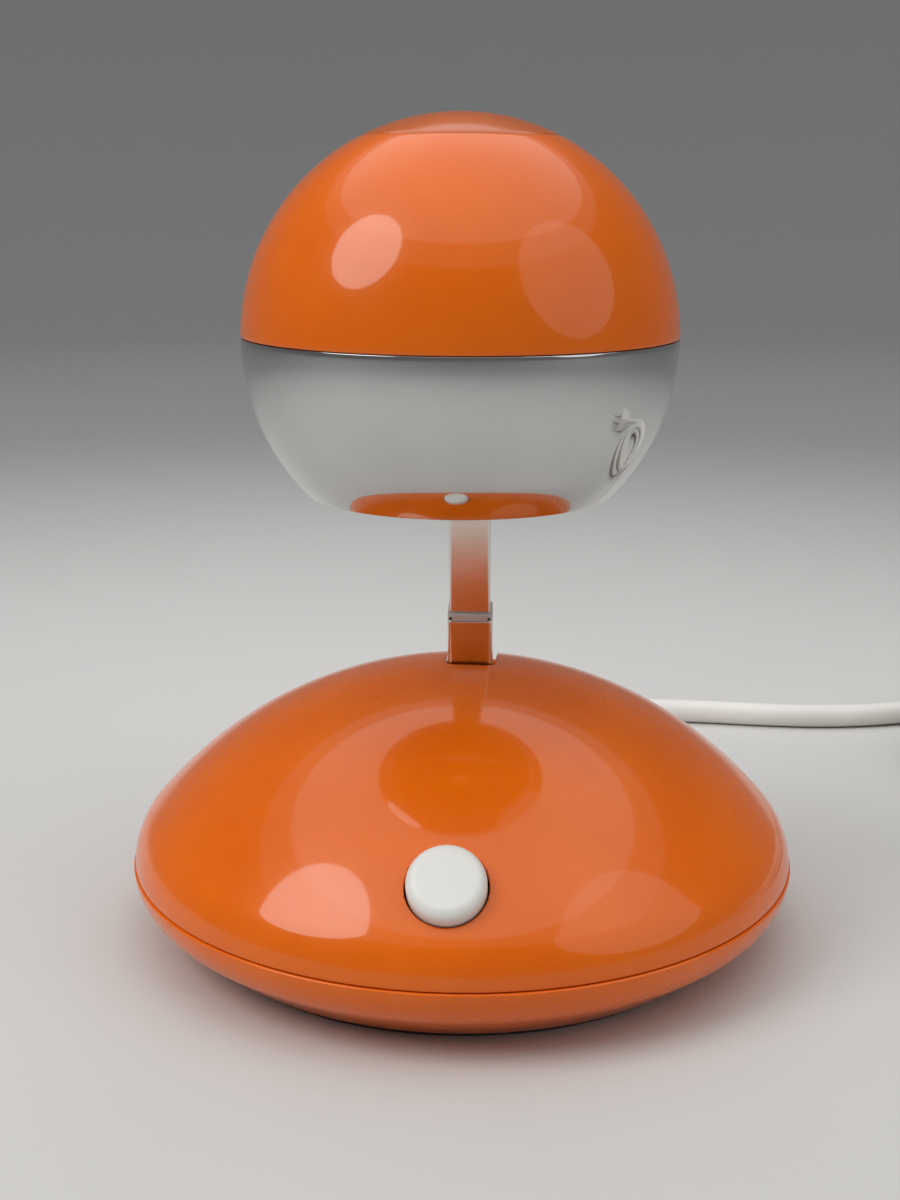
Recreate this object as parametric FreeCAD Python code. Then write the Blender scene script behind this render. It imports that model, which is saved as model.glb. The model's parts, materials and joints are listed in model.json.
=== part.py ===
import FreeCAD, Part
import math
import os

# Telescopic desk lamp: a lens-shaped base, a leaning two-section flat arm and a ball head.
# Millimetres. Origin on the table under the middle of the base, +Z up, the button at -Y.

V = FreeCAD.Vector
X_AXIS = V(1, 0, 0)
Y_AXIS = V(0, 1, 0)
Z_AXIS = V(0, 0, 1)

# Clearances
fit_gap = 0.25          # loose fit between fixed pieces
seat_gap = 0.05         # close seat between fixed pieces
run_gap = 0.05          # radial running fit of pins and of the sliding tube
side_gap = 0.10         # axial play beside a pivot

# Base shells
base_radius = 65.0
seam_height = 14.7
dome_height = 51.6
dome_rim_round = 13.0
base_wall = 2.0
seam_gap = 0.4
lower_overhang = 0.3
lower_rim_round = 9.0
lower_flank_angle = 52.0
lip_height = 3.0
lip_thickness = 1.4
pad_thickness = 1.2
pad_margin = 1.6
floor_skin = 0.5

# Posts and screws that join the shells
post_offset = 34.5
post_radius = 4.0
post_top = 16.0
shell_screw_radius = 1.5
shell_screw_bite = 9.0
screw_head_radius = 2.8
screw_head_height = 2.2
screw_recess = 4.5

# Arm pivot in the base
arm_lean = 15.5
arm_swing = 45.0
arm_side = 1.3          # the arm stands this far to the right of the centre plane
pivot_y = 16.3
pivot_z = 13.0
pivot_bolt_radius = 1.5
pivot_sleeve_wall = 0.7
pivot_washer_radius = 4.5
pivot_washer_thickness = 0.8
bolt_head_radius = 2.8
bolt_head_height = 2.2
bolt_end = 1.0
nut_width = 5.5
nut_height = 2.4
bracket_sheet = 1.6
bracket_depth = 15.0
bracket_rise = 6.0
bracket_foot = 8.0
bracket_screw_radius = 1.5

# Arm tubes: width across X, depth towards the back
outer_width = 8.8
outer_depth = 6.2
tube_wall = 0.35
tube_corner = 0.9
outer_reach = 50.6
outer_tail = 5.6
mouth_round = 0.3
bush_height = 1.45
bush_inset = 0.05
bush_wall = 0.33
liner_wall = 0.4
liner_width = 6.0
liner_length = 9.0
bush_dot_radius = 0.3
bush_dot_depth = 0.25
bush_dot_inset = 0.7
inner_exposed = 42.4
inner_tube_length = 63.0
inner_tube_corner = 0.6
inner_tube_wall = 0.5
shoe_length = 4.0
shoe_plug = 5.0
knuckle_shank = 9.0
knuckle_neck = 1.0
rivet_radius = 0.8

# Slot in the dome
slot_gap = 0.55
slot_corner = 2.0

# Head
head_radius = 38.6
head_wall = 1.2
mouth_radius = 27.3
split_rise = 0.5
split_gap = 0.35
skirt_drop = 4.0
skirt_wall = 1.0
cap_radius = 17.3
cap_gap = 0.25
cap_skirt = 3.0
hinge_behind = 8.9
hinge_below = 13.4
rod_radius = 1.8
eye_radius = 4.4
eye_width = 6.4
rod_washer_thickness = 0.6
rod_collar_radius = 3.6
rod_collar_length = 4.0
rod_boss_radius = 4.4
rod_boss_length = 5.0
rod_nut_width = 6.4
rod_nut_height = 2.6
rod_end = 1.0
rod_washer_inset = 0.4

# Lampholder and bulb
bulb_rise = 2.1
glass_radius = 9.0
glass_wall = 0.6
glass_neck_radius = 6.2
bulb_cap_radius = 7.5
bulb_cap_height = 11.5
bulb_seat = 9.2
holder_wall = 1.2
bridge_height = 26.2
bridge_sheet = 1.2
bridge_vent_radius = 3.6
bridge_vent_ring = 17.0
bridge_vents = 6
nipple_radius = 4.0
nipple_bore = 2.4
nipple_rise = 5.0
holder_nut_width = 12.0
holder_nut_height = 2.6
ledge_width = 2.4
ledge_height = 1.4
filament_radius = 0.5
filament_length = 5.6
filament_post_radius = 0.35

# Push button and switch
button_climb = 0.129     # share of the way from the rim's round to the top of the dome
button_radius = 6.9
button_height = 3.1
button_crown = 0.3
button_edge = 2.0
button_depth = 3.6
button_travel = 2.0
button_gap = 0.35
stem_radius = 1.8
well_wall = 1.75
well_depth = 12.0
switch_top = 7.5
switch_floor_gap = 5.6
switch_flange = 1.2
switch_bore_depth = 8.5
stem_grip = 1.0
tag_spacing = 7.0
tag_width = 2.4
tag_sheet = 0.8
tag_length = 5.0

# Transformer, ballast and terminal block
transformer_gap = 8.3
core_leg = 6.0
core_stack = 13.0
core_window = 18.0
winding_build = 5.4
winding_margin = 0.4
clamp_sheet = 1.0
clamp_foot = 6.0
ballast_inner_x = 28.0
ballast_width = 11.0
ballast_length = 46.0
ballast_height = 10.0
ballast_screw_spacing = 30.0
terminal_setback = 22.3
terminal_width = 18.0
terminal_depth = 9.0
terminal_height = 8.0
terminal_screw_radius = 1.6
terminal_screw_height = 0.8

# Cord, its strain relief, coil and plug
cord_radius = 3.1
corner_share = 0.45      # of the shorter run beside a bend, taken by its arc
gland_boss_radius = 6.4
gland_flange_radius = 5.8
gland_flange = 2.0
gland_neck_radius = 4.2
gland_length = 13.2
gland_tip_radius = 3.9
gland_taper_inset = 0.8
gland_neck_length = 8.0
coil_turns = 3
coil_pitch = 6.7
coil_middle_radius = 37.2
tail_length = 40.0
tie_width = 4.0
tie_thickness = 1.0
tie_gap = 0.5
plug_neck = 13.0
plug_neck_radius = 5.4
plug_neck_tip = 3.7
plug_width = 34.0
plug_length = 25.0
plug_edge = 5.0
pin_radius = 2.4
pin_length = 19.0
pin_spacing = 19.0

coil_lift = tie_thickness + tie_gap

# The cord's way from the tip of the strain relief to the coil, points chosen by hand:
# x, how far behind the tip, and how far above lying on the table
cord_route = [
    (0.0, 0.0, 4.6),
    (0.0, 13.0, 4.6),
    (4.6, 26.4, 3.0),
    (14.0, 37.0, 1.2),
    (27.0, 43.0, 0.2),
    (42.5, 44.6, 0.0),
    (60.0, 44.1, 0.0),
    (78.0, 42.1, 0.0),
    (95.0, 41.9, 0.0),
    (111.0, 45.1, 0.0),
    (127.0, 50.5, 0.4),
    (141.5, 53.5, coil_lift),
    (155.8, 53.5, coil_lift),
]

os.makedirs("parts", exist_ok=True)


# Small helpers

def save(name, *solids):
    shape = solids[0] if len(solids) == 1 else Part.makeCompound(list(solids))
    if not shape.isValid():
        print("not valid:", name)
    shape.exportStep("parts/" + name + ".step")
    print(name, len(shape.Solids), round(shape.Volume, 1))


def block(x0, x1, y0, y1, z0, z1):
    return Part.makeBox(x1 - x0, y1 - y0, z1 - z0, V(x0, y0, z0))


def rod(radius, start, direction, length):
    return Part.makeCylinder(radius, length, start, direction)


def ring(outer, inner, start, direction, length):
    return rod(outer, start, direction, length).cut(rod(inner, start, direction, length))


def hex_nut(width, bore, start, direction, length):
    corner = width / math.sqrt(3)
    spots = [at_angle((0.0, 0.0), corner, angle) for angle in range(0, 361, 60)]
    points = [V(x, y, 0) for x, y in spots]
    prism = Part.Face(Part.makePolygon(points)).extrude(V(0, 0, length))
    prism = prism.cut(rod(bore, V(0, 0, 0), Z_AXIS, length))
    prism.Placement = FreeCAD.Placement(start, FreeCAD.Rotation(Z_AXIS, direction))
    return prism


def moved(shape, offset):
    copy = shape.copy()
    copy.translate(offset)
    return copy


def at_angle(centre, radius, degrees):
    angle = math.radians(degrees)
    return (centre[0] + radius * math.cos(angle), centre[1] + radius * math.sin(angle))


def spin(*steps):
    # A closed outline in the XZ plane, turned about Z. A step is a point, or (middle, end) of an arc.
    edges = []
    here = steps[0]
    for step in steps[1:] + (steps[0],):
        if isinstance(step[0], tuple):
            points = [V(p[0], 0, p[1]) for p in (here, step[0], step[1])]
            edges.append(Part.Arc(*points).toShape())
            here = step[1]
        elif math.dist(here, step) > 1e-6:
            edges.append(Part.LineSegment(V(here[0], 0, here[1]), V(step[0], 0, step[1])).toShape())
            here = step
    return Part.Face(Part.Wire(edges)).revolve(V(0, 0, 0), Z_AXIS, 360)


def rounded_bar(width, depth, corner, z0, z1):
    bar = block(-width / 2, width / 2, -depth / 2, depth / 2, z0, z1)
    upright = [e for e in bar.Edges if abs(e.BoundBox.ZLength - (z1 - z0)) < 1e-6]
    return bar.makeFillet(corner, upright)


# Base: the dome and the bowl under it

dome_rise = dome_height - seam_height
rim_centre = (base_radius - dome_rim_round, seam_height)
crown_square = rim_centre[0] ** 2 + dome_rise ** 2 - dome_rim_round ** 2
crown_radius = crown_square / (2 * (dome_rise - dome_rim_round))
crown_centre = (0.0, dome_height - crown_radius)
blend_angle = math.degrees(math.atan2(seam_height - crown_centre[1], rim_centre[0]))


def dome_solid(inset):
    rim = dome_rim_round - inset
    crown = crown_radius - inset
    return spin(
        (0.0, seam_height),
        (rim_centre[0] + rim, seam_height),
        (at_angle(rim_centre, rim, blend_angle / 2), at_angle(rim_centre, rim, blend_angle)),
        (at_angle(crown_centre, crown, (blend_angle + 90) / 2), (0.0, dome_height - inset)))


def dome_z(radius):
    return crown_centre[1] + math.sqrt(crown_radius ** 2 - radius ** 2)


lower_centre = (base_radius + lower_overhang - lower_rim_round, seam_height)
gland_boss_face = base_radius + lower_overhang
gland_end = gland_boss_face + gland_flange + gland_length
gland_z = cord_radius + cord_route[0][2]
cord_points = [V(x, gland_end + behind, cord_radius + above) for x, behind, above in cord_route]
floor_z = pad_thickness + base_wall


def flank_radius(inset, z):
    start = at_angle(lower_centre, lower_rim_round - inset, -lower_flank_angle)
    return start[0] - (start[1] - z) * math.tan(math.radians(lower_flank_angle))


def bowl_solid(inset, bottom):
    rim = lower_rim_round - inset
    return spin(
        (0.0, bottom),
        (flank_radius(inset, bottom), bottom),
        at_angle(lower_centre, rim, -lower_flank_angle),
        (at_angle(lower_centre, rim, -lower_flank_angle / 2), (lower_centre[0] + rim, seam_height)),
        (0.0, seam_height))


# The arm's own frame: the pivot at the origin and the tube along +Z, then leaned forward.

arm_placement = FreeCAD.Placement(V(arm_side, pivot_y, pivot_z), FreeCAD.Rotation(X_AXIS, arm_lean))


def on_arm(shape):
    copy = shape.copy()
    copy.Placement = arm_placement.multiply(copy.Placement)
    return copy


def tube_edge_y(lean_angle, side):
    # Where the face of the outer tube meets the dome's skin, side -1 in front and +1 behind
    y = pivot_y
    slope = math.tan(math.radians(lean_angle))
    offset = side * outer_depth / 2 / math.cos(math.radians(lean_angle))
    for _ in range(12):
        y = pivot_y - (dome_z(y) - pivot_z) * slope + offset
    return y


slot_front = tube_edge_y(arm_lean, -1) - slot_gap
slot_rear = tube_edge_y(arm_lean - arm_swing, 1) + slot_gap
slot_half = outer_width / 2 + slot_gap
slot_length = slot_rear - slot_front
slot_bar = rounded_bar(2 * slot_half, slot_length, slot_corner, seam_height, dome_height + base_wall)
slot_cutter = moved(slot_bar, V(arm_side, (slot_front + slot_rear) / 2, 0))

# The button's own frame: the dome's skin at the origin and +Z out along its normal.

button_angle = blend_angle + button_climb * (90.0 - blend_angle)
button_spot = at_angle(crown_centre, crown_radius, button_angle)
button_normal = V(0, -math.cos(math.radians(button_angle)), math.sin(math.radians(button_angle)))
button_turn = FreeCAD.Rotation(Z_AXIS, button_normal)
button_placement = FreeCAD.Placement(V(0, -button_spot[0], button_spot[1]), button_turn)


def on_button(shape):
    copy = shape.copy()
    copy.Placement = button_placement.multiply(copy.Placement)
    return copy


well_radius = button_radius + button_gap
switch_radius = well_radius - fit_gap
switch_drop = button_spot[1] - floor_z - switch_floor_gap - switch_radius * abs(button_normal.y)
switch_length = switch_drop / button_normal.z
tag_end_y = -button_spot[0] - (switch_length + tag_length) * button_normal.y
transformer_y = tag_end_y + transformer_gap + winding_build + core_stack / 2
terminal_y = gland_boss_face - terminal_setback
post_spots = [(sx * post_offset, sy * post_offset) for sx in (-1, 1) for sy in (-1, 1)]
bracket_half = outer_width / 2 + pivot_washer_thickness + 2 * side_gap
bracket_screw_x = bracket_half + bracket_sheet + bracket_foot / 2
core_width = 6 * core_leg
core_height = core_window + 2 * core_leg
clamp_half = core_width / 2 + clamp_sheet
clamp_screw_x = clamp_half + clamp_foot / 2
ballast_x = ballast_inner_x + ballast_width / 2
floor_screws = [(arm_side + s * bracket_screw_x, pivot_y, bracket_sheet) for s in (-1, 1)]
floor_screws += [(s * clamp_screw_x, transformer_y, clamp_sheet) for s in (-1, 1)]
ballast_screw_y = ballast_screw_spacing / 2
floor_screws += [(s * ballast_x, t * ballast_screw_y, ballast_height) for s in (-1, 1) for t in (-1, 1)]
floor_screw_bite = base_wall - floor_skin


def base_top_shell():
    shell = dome_solid(0).cut(dome_solid(base_wall))
    embed = dome_solid(base_wall / 2)
    for x, y in post_spots:
        shell = shell.fuse(rod(post_radius, V(x, y, post_top), Z_AXIS, dome_height).common(embed))
    well = on_button(ring(well_radius + well_wall, well_radius, V(0, 0, -well_depth), Z_AXIS, well_depth))
    shell = shell.fuse(well.common(embed))
    shell = shell.cut(on_button(rod(well_radius, V(0, 0, -well_depth), Z_AXIS, 2 * well_depth)))
    for x, y in post_spots:
        shell = shell.cut(rod(shell_screw_radius, V(x, y, post_top), Z_AXIS, shell_screw_bite + 1))
    shell = shell.cut(slot_cutter)
    return shell.cut(block(-base_radius, base_radius, -base_radius, base_radius, 0, seam_height + seam_gap))


def base_bottom_shell():
    shell = bowl_solid(0, pad_thickness).cut(bowl_solid(base_wall, floor_z))
    reach = dome_rim_round - base_wall
    lip_outer = rim_centre[0] + math.sqrt(reach ** 2 - (seam_gap + lip_height) ** 2) - fit_gap
    lip_inner = lip_outer - lip_thickness
    lip_foot = seam_height - 2 * lip_thickness
    wall_middle = base_radius + lower_overhang - base_wall / 2
    shell = shell.fuse(ring(wall_middle, lip_inner, V(0, 0, lip_foot), Z_AXIS, lip_thickness))
    lip_rise = seam_height + seam_gap + lip_height - lip_foot
    shell = shell.fuse(ring(lip_outer, lip_inner, V(0, 0, lip_foot), Z_AXIS, lip_rise))
    boss = rod(gland_boss_radius, V(0, gland_boss_face, gland_z), -Y_AXIS, gland_neck_length)
    above_pad = block(-base_radius, base_radius, 0, gland_boss_face, pad_thickness, seam_height)
    shell = shell.fuse(boss.common(above_pad))
    for x, y in post_spots:
        shell = shell.fuse(rod(post_radius, V(x, y, pad_thickness), Z_AXIS, post_top - pad_thickness))
    for x, y in post_spots:
        shell = shell.cut(rod(shell_screw_radius + run_gap, V(x, y, 0), Z_AXIS, post_top))
        shell = shell.cut(rod(screw_head_radius + fit_gap, V(x, y, 0), Z_AXIS, pad_thickness + screw_recess))
    for x, y, height in floor_screws:
        shell = shell.cut(rod(bracket_screw_radius + run_gap, V(x, y, floor_z), -Z_AXIS, floor_screw_bite))
    return shell.cut(rod(gland_neck_radius + seat_gap, V(0, 0, gland_z), Y_AXIS, gland_boss_face))


def felt_pad():
    return rod(flank_radius(0, pad_thickness) - pad_margin, V(0, 0, 0), Z_AXIS, pad_thickness)


def pan_screw(x, y, seat_z, radius, length, up):
    # A screw whose head's underside seats at seat_z and whose shank runs up or down from there
    way = Z_AXIS if up else -Z_AXIS
    shank = rod(radius, V(x, y, seat_z), way, length)
    return rod(screw_head_radius, V(x, y, seat_z), -way, screw_head_height).fuse(shank)


def shell_screws():
    seat = pad_thickness + screw_recess
    return [pan_screw(x, y, seat, shell_screw_radius - run_gap, post_top + shell_screw_bite - seat, True)
            for x, y in post_spots]


def floor_screw_set(first, last):
    screws = []
    for x, y, height in floor_screws[first:last]:
        seat = floor_z + height
        screws.append(pan_screw(x, y, seat, bracket_screw_radius, height + floor_screw_bite, False))
    return screws


save("base_top_shell", base_top_shell())
save("base_bottom_shell", base_bottom_shell())
save("felt_pad", felt_pad())
save("shell_screws", *shell_screws())


# Arm pivot: bracket, bolt, nut, washers

def arm_bracket():
    front = pivot_y - bracket_depth / 2
    back = pivot_y + bracket_depth / 2
    foot_end = bracket_half + bracket_sheet + bracket_foot
    bracket = block(arm_side - foot_end, arm_side + foot_end, front, back, floor_z, floor_z + bracket_sheet)
    for side in (-1, 1):
        x0 = arm_side + min(side * bracket_half, side * (bracket_half + bracket_sheet))
        cheek = block(x0, x0 + bracket_sheet, front, back, floor_z, pivot_z)
        cheek = cheek.fuse(rod(bracket_rise, V(x0, pivot_y, pivot_z), X_AXIS, bracket_sheet))
        bracket = bracket.fuse(cheek)
        screw_spot = V(arm_side + side * bracket_screw_x, pivot_y, floor_z)
        hole = rod(bracket_screw_radius + run_gap, screw_spot, Z_AXIS, bracket_sheet)
        bracket = bracket.cut(hole)
    bore = rod(pivot_bolt_radius + run_gap, V(-base_radius, pivot_y, pivot_z), X_AXIS, 2 * base_radius)
    return bracket.cut(bore).removeSplitter()


bracket_outside = bracket_half + bracket_sheet


def pivot_bolt():
    start = V(arm_side - bracket_outside, pivot_y, pivot_z)
    head = rod(bolt_head_radius, start, -X_AXIS, bolt_head_height)
    length = 2 * bracket_outside + nut_height + bolt_end
    return head.fuse(rod(pivot_bolt_radius, start, X_AXIS, length))


def pivot_washer(side):
    start = V(arm_side + side * (outer_width / 2 + side_gap), pivot_y, pivot_z)
    bore = pivot_bolt_radius + run_gap
    return ring(pivot_washer_radius, bore, start, X_AXIS * side, pivot_washer_thickness)


save("arm_bracket", arm_bracket())
save("bracket_screws", *floor_screw_set(0, 2))
save("pivot_bolt", pivot_bolt())
nut_start = V(arm_side + bracket_outside, pivot_y, pivot_z)
save("pivot_nut", hex_nut(nut_width, pivot_bolt_radius + seat_gap, nut_start, X_AXIS, nut_height))
save("pivot_washers", pivot_washer(-1), pivot_washer(1))


# Transformer, ballast, terminal block

def transformer_core():
    y0 = transformer_y - core_stack / 2
    y1 = transformer_y + core_stack / 2
    core = block(-core_width / 2, core_width / 2, y0, y1, floor_z, floor_z + core_height)
    for side in (-1, 1):
        x0 = min(side * core_leg, side * 2 * core_leg)
        sill = floor_z + core_leg
        core = core.cut(block(x0, x0 + core_leg, y0, y1, sill, sill + core_window))
    return core


def transformer_winding():
    z0 = floor_z + core_leg + winding_margin
    z1 = floor_z + core_leg + core_window - winding_margin
    width = 2 * (core_leg + winding_build)
    outer = rounded_bar(width, core_stack + 2 * winding_build, winding_build / 2, z0, z1)
    half_x = core_leg + seat_gap
    half_y = core_stack / 2 + seat_gap
    hole = block(-half_x, half_x, -half_y, half_y, z0, z1)
    return moved(outer.cut(hole), V(0, transformer_y, 0))


def transformer_clamp():
    y0 = transformer_y - core_stack / 2
    y1 = transformer_y + core_stack / 2
    top = floor_z + core_height + clamp_sheet
    clamp = block(-clamp_half, clamp_half, y0, y1, floor_z, top)
    clamp = clamp.cut(block(-core_width / 2, core_width / 2, y0, y1, floor_z, top - clamp_sheet))
    for side in (-1, 1):
        x0 = min(side * clamp_half, side * (clamp_half + clamp_foot))
        clamp = clamp.fuse(block(x0, x0 + clamp_foot, y0, y1, floor_z, floor_z + clamp_sheet))
        screw_spot = V(side * clamp_screw_x, transformer_y, floor_z)
        hole = rod(bracket_screw_radius + run_gap, screw_spot, Z_AXIS, clamp_sheet)
        clamp = clamp.cut(hole)
    return clamp.removeSplitter()


def ballast_weight(side):
    x0 = min(side * ballast_inner_x, side * (ballast_inner_x + ballast_width))
    half = ballast_length / 2
    bar = block(x0, x0 + ballast_width, -half, half, floor_z, floor_z + ballast_height)
    for t in (-1, 1):
        start = V(side * ballast_x, t * ballast_screw_y, floor_z)
        bar = bar.cut(rod(bracket_screw_radius + run_gap, start, Z_AXIS, ballast_height))
    return bar


def terminal_screw(side):
    start = V(side * terminal_width / 4, terminal_y, floor_z + terminal_height)
    return rod(terminal_screw_radius, start, Z_AXIS, terminal_screw_height)


save("transformer_core", transformer_core())
save("transformer_winding", transformer_winding())
save("transformer_clamp", transformer_clamp())
save("transformer_screws", *floor_screw_set(2, 4))
save("ballast_weights", ballast_weight(-1), ballast_weight(1))
save("ballast_screws", *floor_screw_set(4, 8))
save("terminal_block", block(-terminal_width / 2, terminal_width / 2, terminal_y - terminal_depth / 2,
                             terminal_y + terminal_depth / 2, floor_z, floor_z + terminal_height))
save("terminal_screws", terminal_screw(-1), terminal_screw(1))


# Push button and the switch behind it

def button_cap():
    crown = (button_radius ** 2 + button_crown ** 2) / (2 * button_crown)
    cap = rod(button_radius, V(0, 0, -button_depth), Z_AXIS, button_depth + button_height)
    cap = cap.common(Part.makeSphere(crown, V(0, 0, button_height - crown)))
    rim = [e for e in cap.Edges if e.BoundBox.ZMin > 0]
    return on_button(cap.makeFillet(button_edge, rim))


def button_stem():
    length = switch_top + button_travel + stem_grip - button_depth
    return on_button(rod(stem_radius, V(0, 0, -button_depth), -Z_AXIS, length))


def switch_body():
    body = rod(switch_radius, V(0, 0, -switch_top), -Z_AXIS, switch_length - switch_top)
    body = body.fuse(rod(well_radius + well_wall, V(0, 0, -well_depth), -Z_AXIS, switch_flange))
    return on_button(body.cut(rod(stem_radius + fit_gap, V(0, 0, -switch_top), -Z_AXIS, switch_bore_depth)))


def switch_tag(side):
    x0 = side * tag_spacing / 2 - tag_width / 2
    tag_end = -switch_length - tag_length
    tag = block(x0, x0 + tag_width, -tag_sheet / 2, tag_sheet / 2, tag_end, -switch_length)
    return on_button(tag)


save("button_cap", button_cap())
save("button_stem", button_stem())
save("switch_body", switch_body())
save("switch_tags", switch_tag(-1), switch_tag(1))


# Arm: outer tube on the pivot, inner tube that slides in it, knuckle on top

bore_width = outer_width - 2 * tube_wall
bore_depth = outer_depth - 2 * tube_wall
inner_width = outer_width - 2 * (bush_inset + bush_wall + run_gap)
inner_depth = bore_depth - 2 * (liner_wall + run_gap)
inner_bore_width = inner_width - 2 * inner_tube_wall
inner_bore_depth = inner_depth - 2 * inner_tube_wall
sleeve_radius = pivot_bolt_radius + run_gap + pivot_sleeve_wall
bush_top = outer_reach + bush_height
hinge_reach = bush_top + inner_exposed
inner_top = hinge_reach - eye_radius - knuckle_neck
inner_bottom = inner_top - inner_tube_length
rivet_height = inner_top - knuckle_shank / 2


def outer_tube():
    tube = rounded_bar(outer_width, outer_depth, tube_corner, -outer_tail, outer_reach)
    rim = [e for e in tube.Edges if abs(e.BoundBox.ZMin - outer_reach) < 1e-6]
    tube = tube.makeFillet(mouth_round, rim)
    tube = tube.cut(rounded_bar(bore_width, bore_depth, tube_corner - tube_wall, -outer_tail, outer_reach))
    return tube.cut(rod(sleeve_radius + seat_gap, V(-outer_width, 0, 0), X_AXIS, 2 * outer_width))


def pivot_sleeve():
    return ring(sleeve_radius, pivot_bolt_radius + run_gap, V(-outer_width / 2, 0, 0), X_AXIS, outer_width)


def guide_bush():
    width = outer_width - 2 * bush_inset
    depth = outer_depth - 2 * bush_inset
    bush = rounded_bar(width, depth, tube_corner - bush_inset, outer_reach, bush_top)
    liner_low = outer_reach - liner_length
    half_x = liner_width / 2
    half_y = bore_depth / 2
    bush = bush.fuse(block(-half_x, half_x, -half_y, half_y, liner_low, outer_reach))
    way_x = inner_width + 2 * run_gap
    way_y = inner_depth + 2 * run_gap
    bush = bush.cut(rounded_bar(way_x, way_y, inner_tube_corner, liner_low, bush_top))
    for side in (-1, 1):
        start = V(side * (width / 2 - bush_dot_inset), -depth / 2, outer_reach + bush_height / 2)
        bush = bush.cut(rod(bush_dot_radius, start, Y_AXIS, bush_dot_depth))
    return bush


def inner_tube():
    tube = rounded_bar(inner_width, inner_depth, inner_tube_corner, inner_bottom, inner_top)
    half_x = inner_bore_width / 2
    half_y = inner_bore_depth / 2
    tube = tube.cut(block(-half_x, half_x, -half_y, half_y, inner_bottom, inner_top))
    return tube.cut(rod(rivet_radius, V(0, -outer_depth, rivet_height), Y_AXIS, 2 * outer_depth))


def tube_plug(z0, z1):
    width = inner_bore_width - 2 * seat_gap
    depth = inner_bore_depth - 2 * seat_gap
    return block(-width / 2, width / 2, -depth / 2, depth / 2, z0, z1)


def slide_shoe():
    shoe = rounded_bar(bore_width - 2 * run_gap, bore_depth - 2 * run_gap, tube_corner - tube_wall,
                       inner_bottom - shoe_length, inner_bottom)
    return shoe.fuse(tube_plug(inner_bottom, inner_bottom + shoe_plug))


def arm_knuckle():
    neck = block(-eye_width / 2, eye_width / 2, -inner_depth / 2, inner_depth / 2, inner_top, hinge_reach)
    eye = rod(eye_radius, V(-eye_width / 2, 0, hinge_reach), X_AXIS, eye_width)
    knuckle = tube_plug(inner_top - knuckle_shank, inner_top).fuse(neck).fuse(eye)
    knuckle = knuckle.cut(rod(rod_radius + run_gap, V(-eye_width, 0, hinge_reach), X_AXIS, 2 * eye_width))
    knuckle = knuckle.cut(rod(rivet_radius, V(0, -outer_depth, rivet_height), Y_AXIS, 2 * outer_depth))
    return knuckle.removeSplitter()


def knuckle_rivet():
    return rod(rivet_radius - seat_gap, V(0, -inner_depth / 2, rivet_height), Y_AXIS, inner_depth)


save("outer_tube", on_arm(outer_tube()))
save("pivot_sleeve", on_arm(pivot_sleeve()))
save("guide_bush", on_arm(guide_bush()))
save("inner_tube", on_arm(inner_tube()))
save("slide_shoe", on_arm(slide_shoe()))
save("arm_knuckle", on_arm(arm_knuckle()))
save("knuckle_rivet", on_arm(knuckle_rivet()))


# Head: shells about their own centre, then moved to the arm's top

hinge_point = arm_placement.multVec(V(0, 0, hinge_reach))
head_centre = hinge_point + V(-arm_side, -hinge_behind, hinge_below)
hinge_here = V(0, hinge_behind, -hinge_below)
mouth_z = -math.sqrt(head_radius ** 2 - mouth_radius ** 2)
cap_z = math.sqrt(head_radius ** 2 - cap_radius ** 2)
bore_radius = head_radius - head_wall


def on_head(shape):
    return moved(shape, head_centre)


def ball(radius):
    return Part.makeSphere(radius)


def slice_between(shape, z0, z1):
    return shape.common(block(-head_radius, head_radius, -head_radius, head_radius, z0, z1))


def head_bottom_shell():
    return slice_between(ball(head_radius).cut(ball(bore_radius)), mouth_z, split_rise)


def head_top_shell():
    shell = slice_between(ball(head_radius).cut(ball(bore_radius)), split_rise + split_gap, head_radius)
    skirt = ball(bore_radius - seat_gap).cut(ball(bore_radius - skirt_wall - seat_gap))
    shell = shell.fuse(slice_between(skirt, split_rise - skirt_drop, split_rise + skirt_drop))
    overlap = ball(bore_radius + head_wall / 2).cut(ball(bore_radius - skirt_wall))
    shell = shell.fuse(slice_between(overlap, split_rise + split_gap, split_rise + skirt_drop))
    ledge_outer = math.sqrt(bore_radius ** 2 - bridge_height ** 2)
    ledge_start = V(0, 0, bridge_height - ledge_height)
    ledge = ring(head_radius, ledge_outer - ledge_width, ledge_start, Z_AXIS, ledge_height)
    shell = shell.fuse(ledge.common(ball(bore_radius + head_wall / 2)))
    shell = shell.cut(rod(cap_radius, V(0, 0, bridge_height + bridge_sheet), Z_AXIS, head_radius))
    return shell.removeSplitter()


def head_top_cap():
    cap = slice_between(ball(head_radius).cut(ball(bore_radius)), cap_z - cap_gap, head_radius)
    cap = cap.common(rod(cap_radius - cap_gap, V(0, 0, 0), Z_AXIS, head_radius))
    edge_z = math.sqrt(bore_radius ** 2 - cap_radius ** 2)
    rim = cap_radius - cap_gap
    skirt = ring(rim, rim - head_wall, V(0, 0, edge_z - cap_skirt), Z_AXIS, 2 * cap_skirt)
    return cap.fuse(skirt.common(ball(head_radius - head_wall / 2))).removeSplitter()


rod_half = math.sqrt(bore_radius ** 2 - hinge_behind ** 2 - hinge_below ** 2) - rod_end
rod_nut_x = rod_half + rod_end - rod_boss_length - rod_nut_height
rod_bore = rod_radius + seat_gap
washer_x = eye_width / 2 + side_gap


def cross_rod():
    return rod(rod_radius, hinge_here - X_AXIS * rod_half, X_AXIS, 2 * rod_half)


def rod_boss(side):
    start = hinge_here + X_AXIS * side * (rod_nut_x + rod_nut_height)
    boss = rod(rod_boss_radius, start, X_AXIS * side, 3 * rod_boss_length)
    boss = boss.common(ball(bore_radius - seat_gap))
    return boss.cut(rod(rod_bore, hinge_here - X_AXIS * rod_half, X_AXIS, 2 * rod_half))


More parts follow.
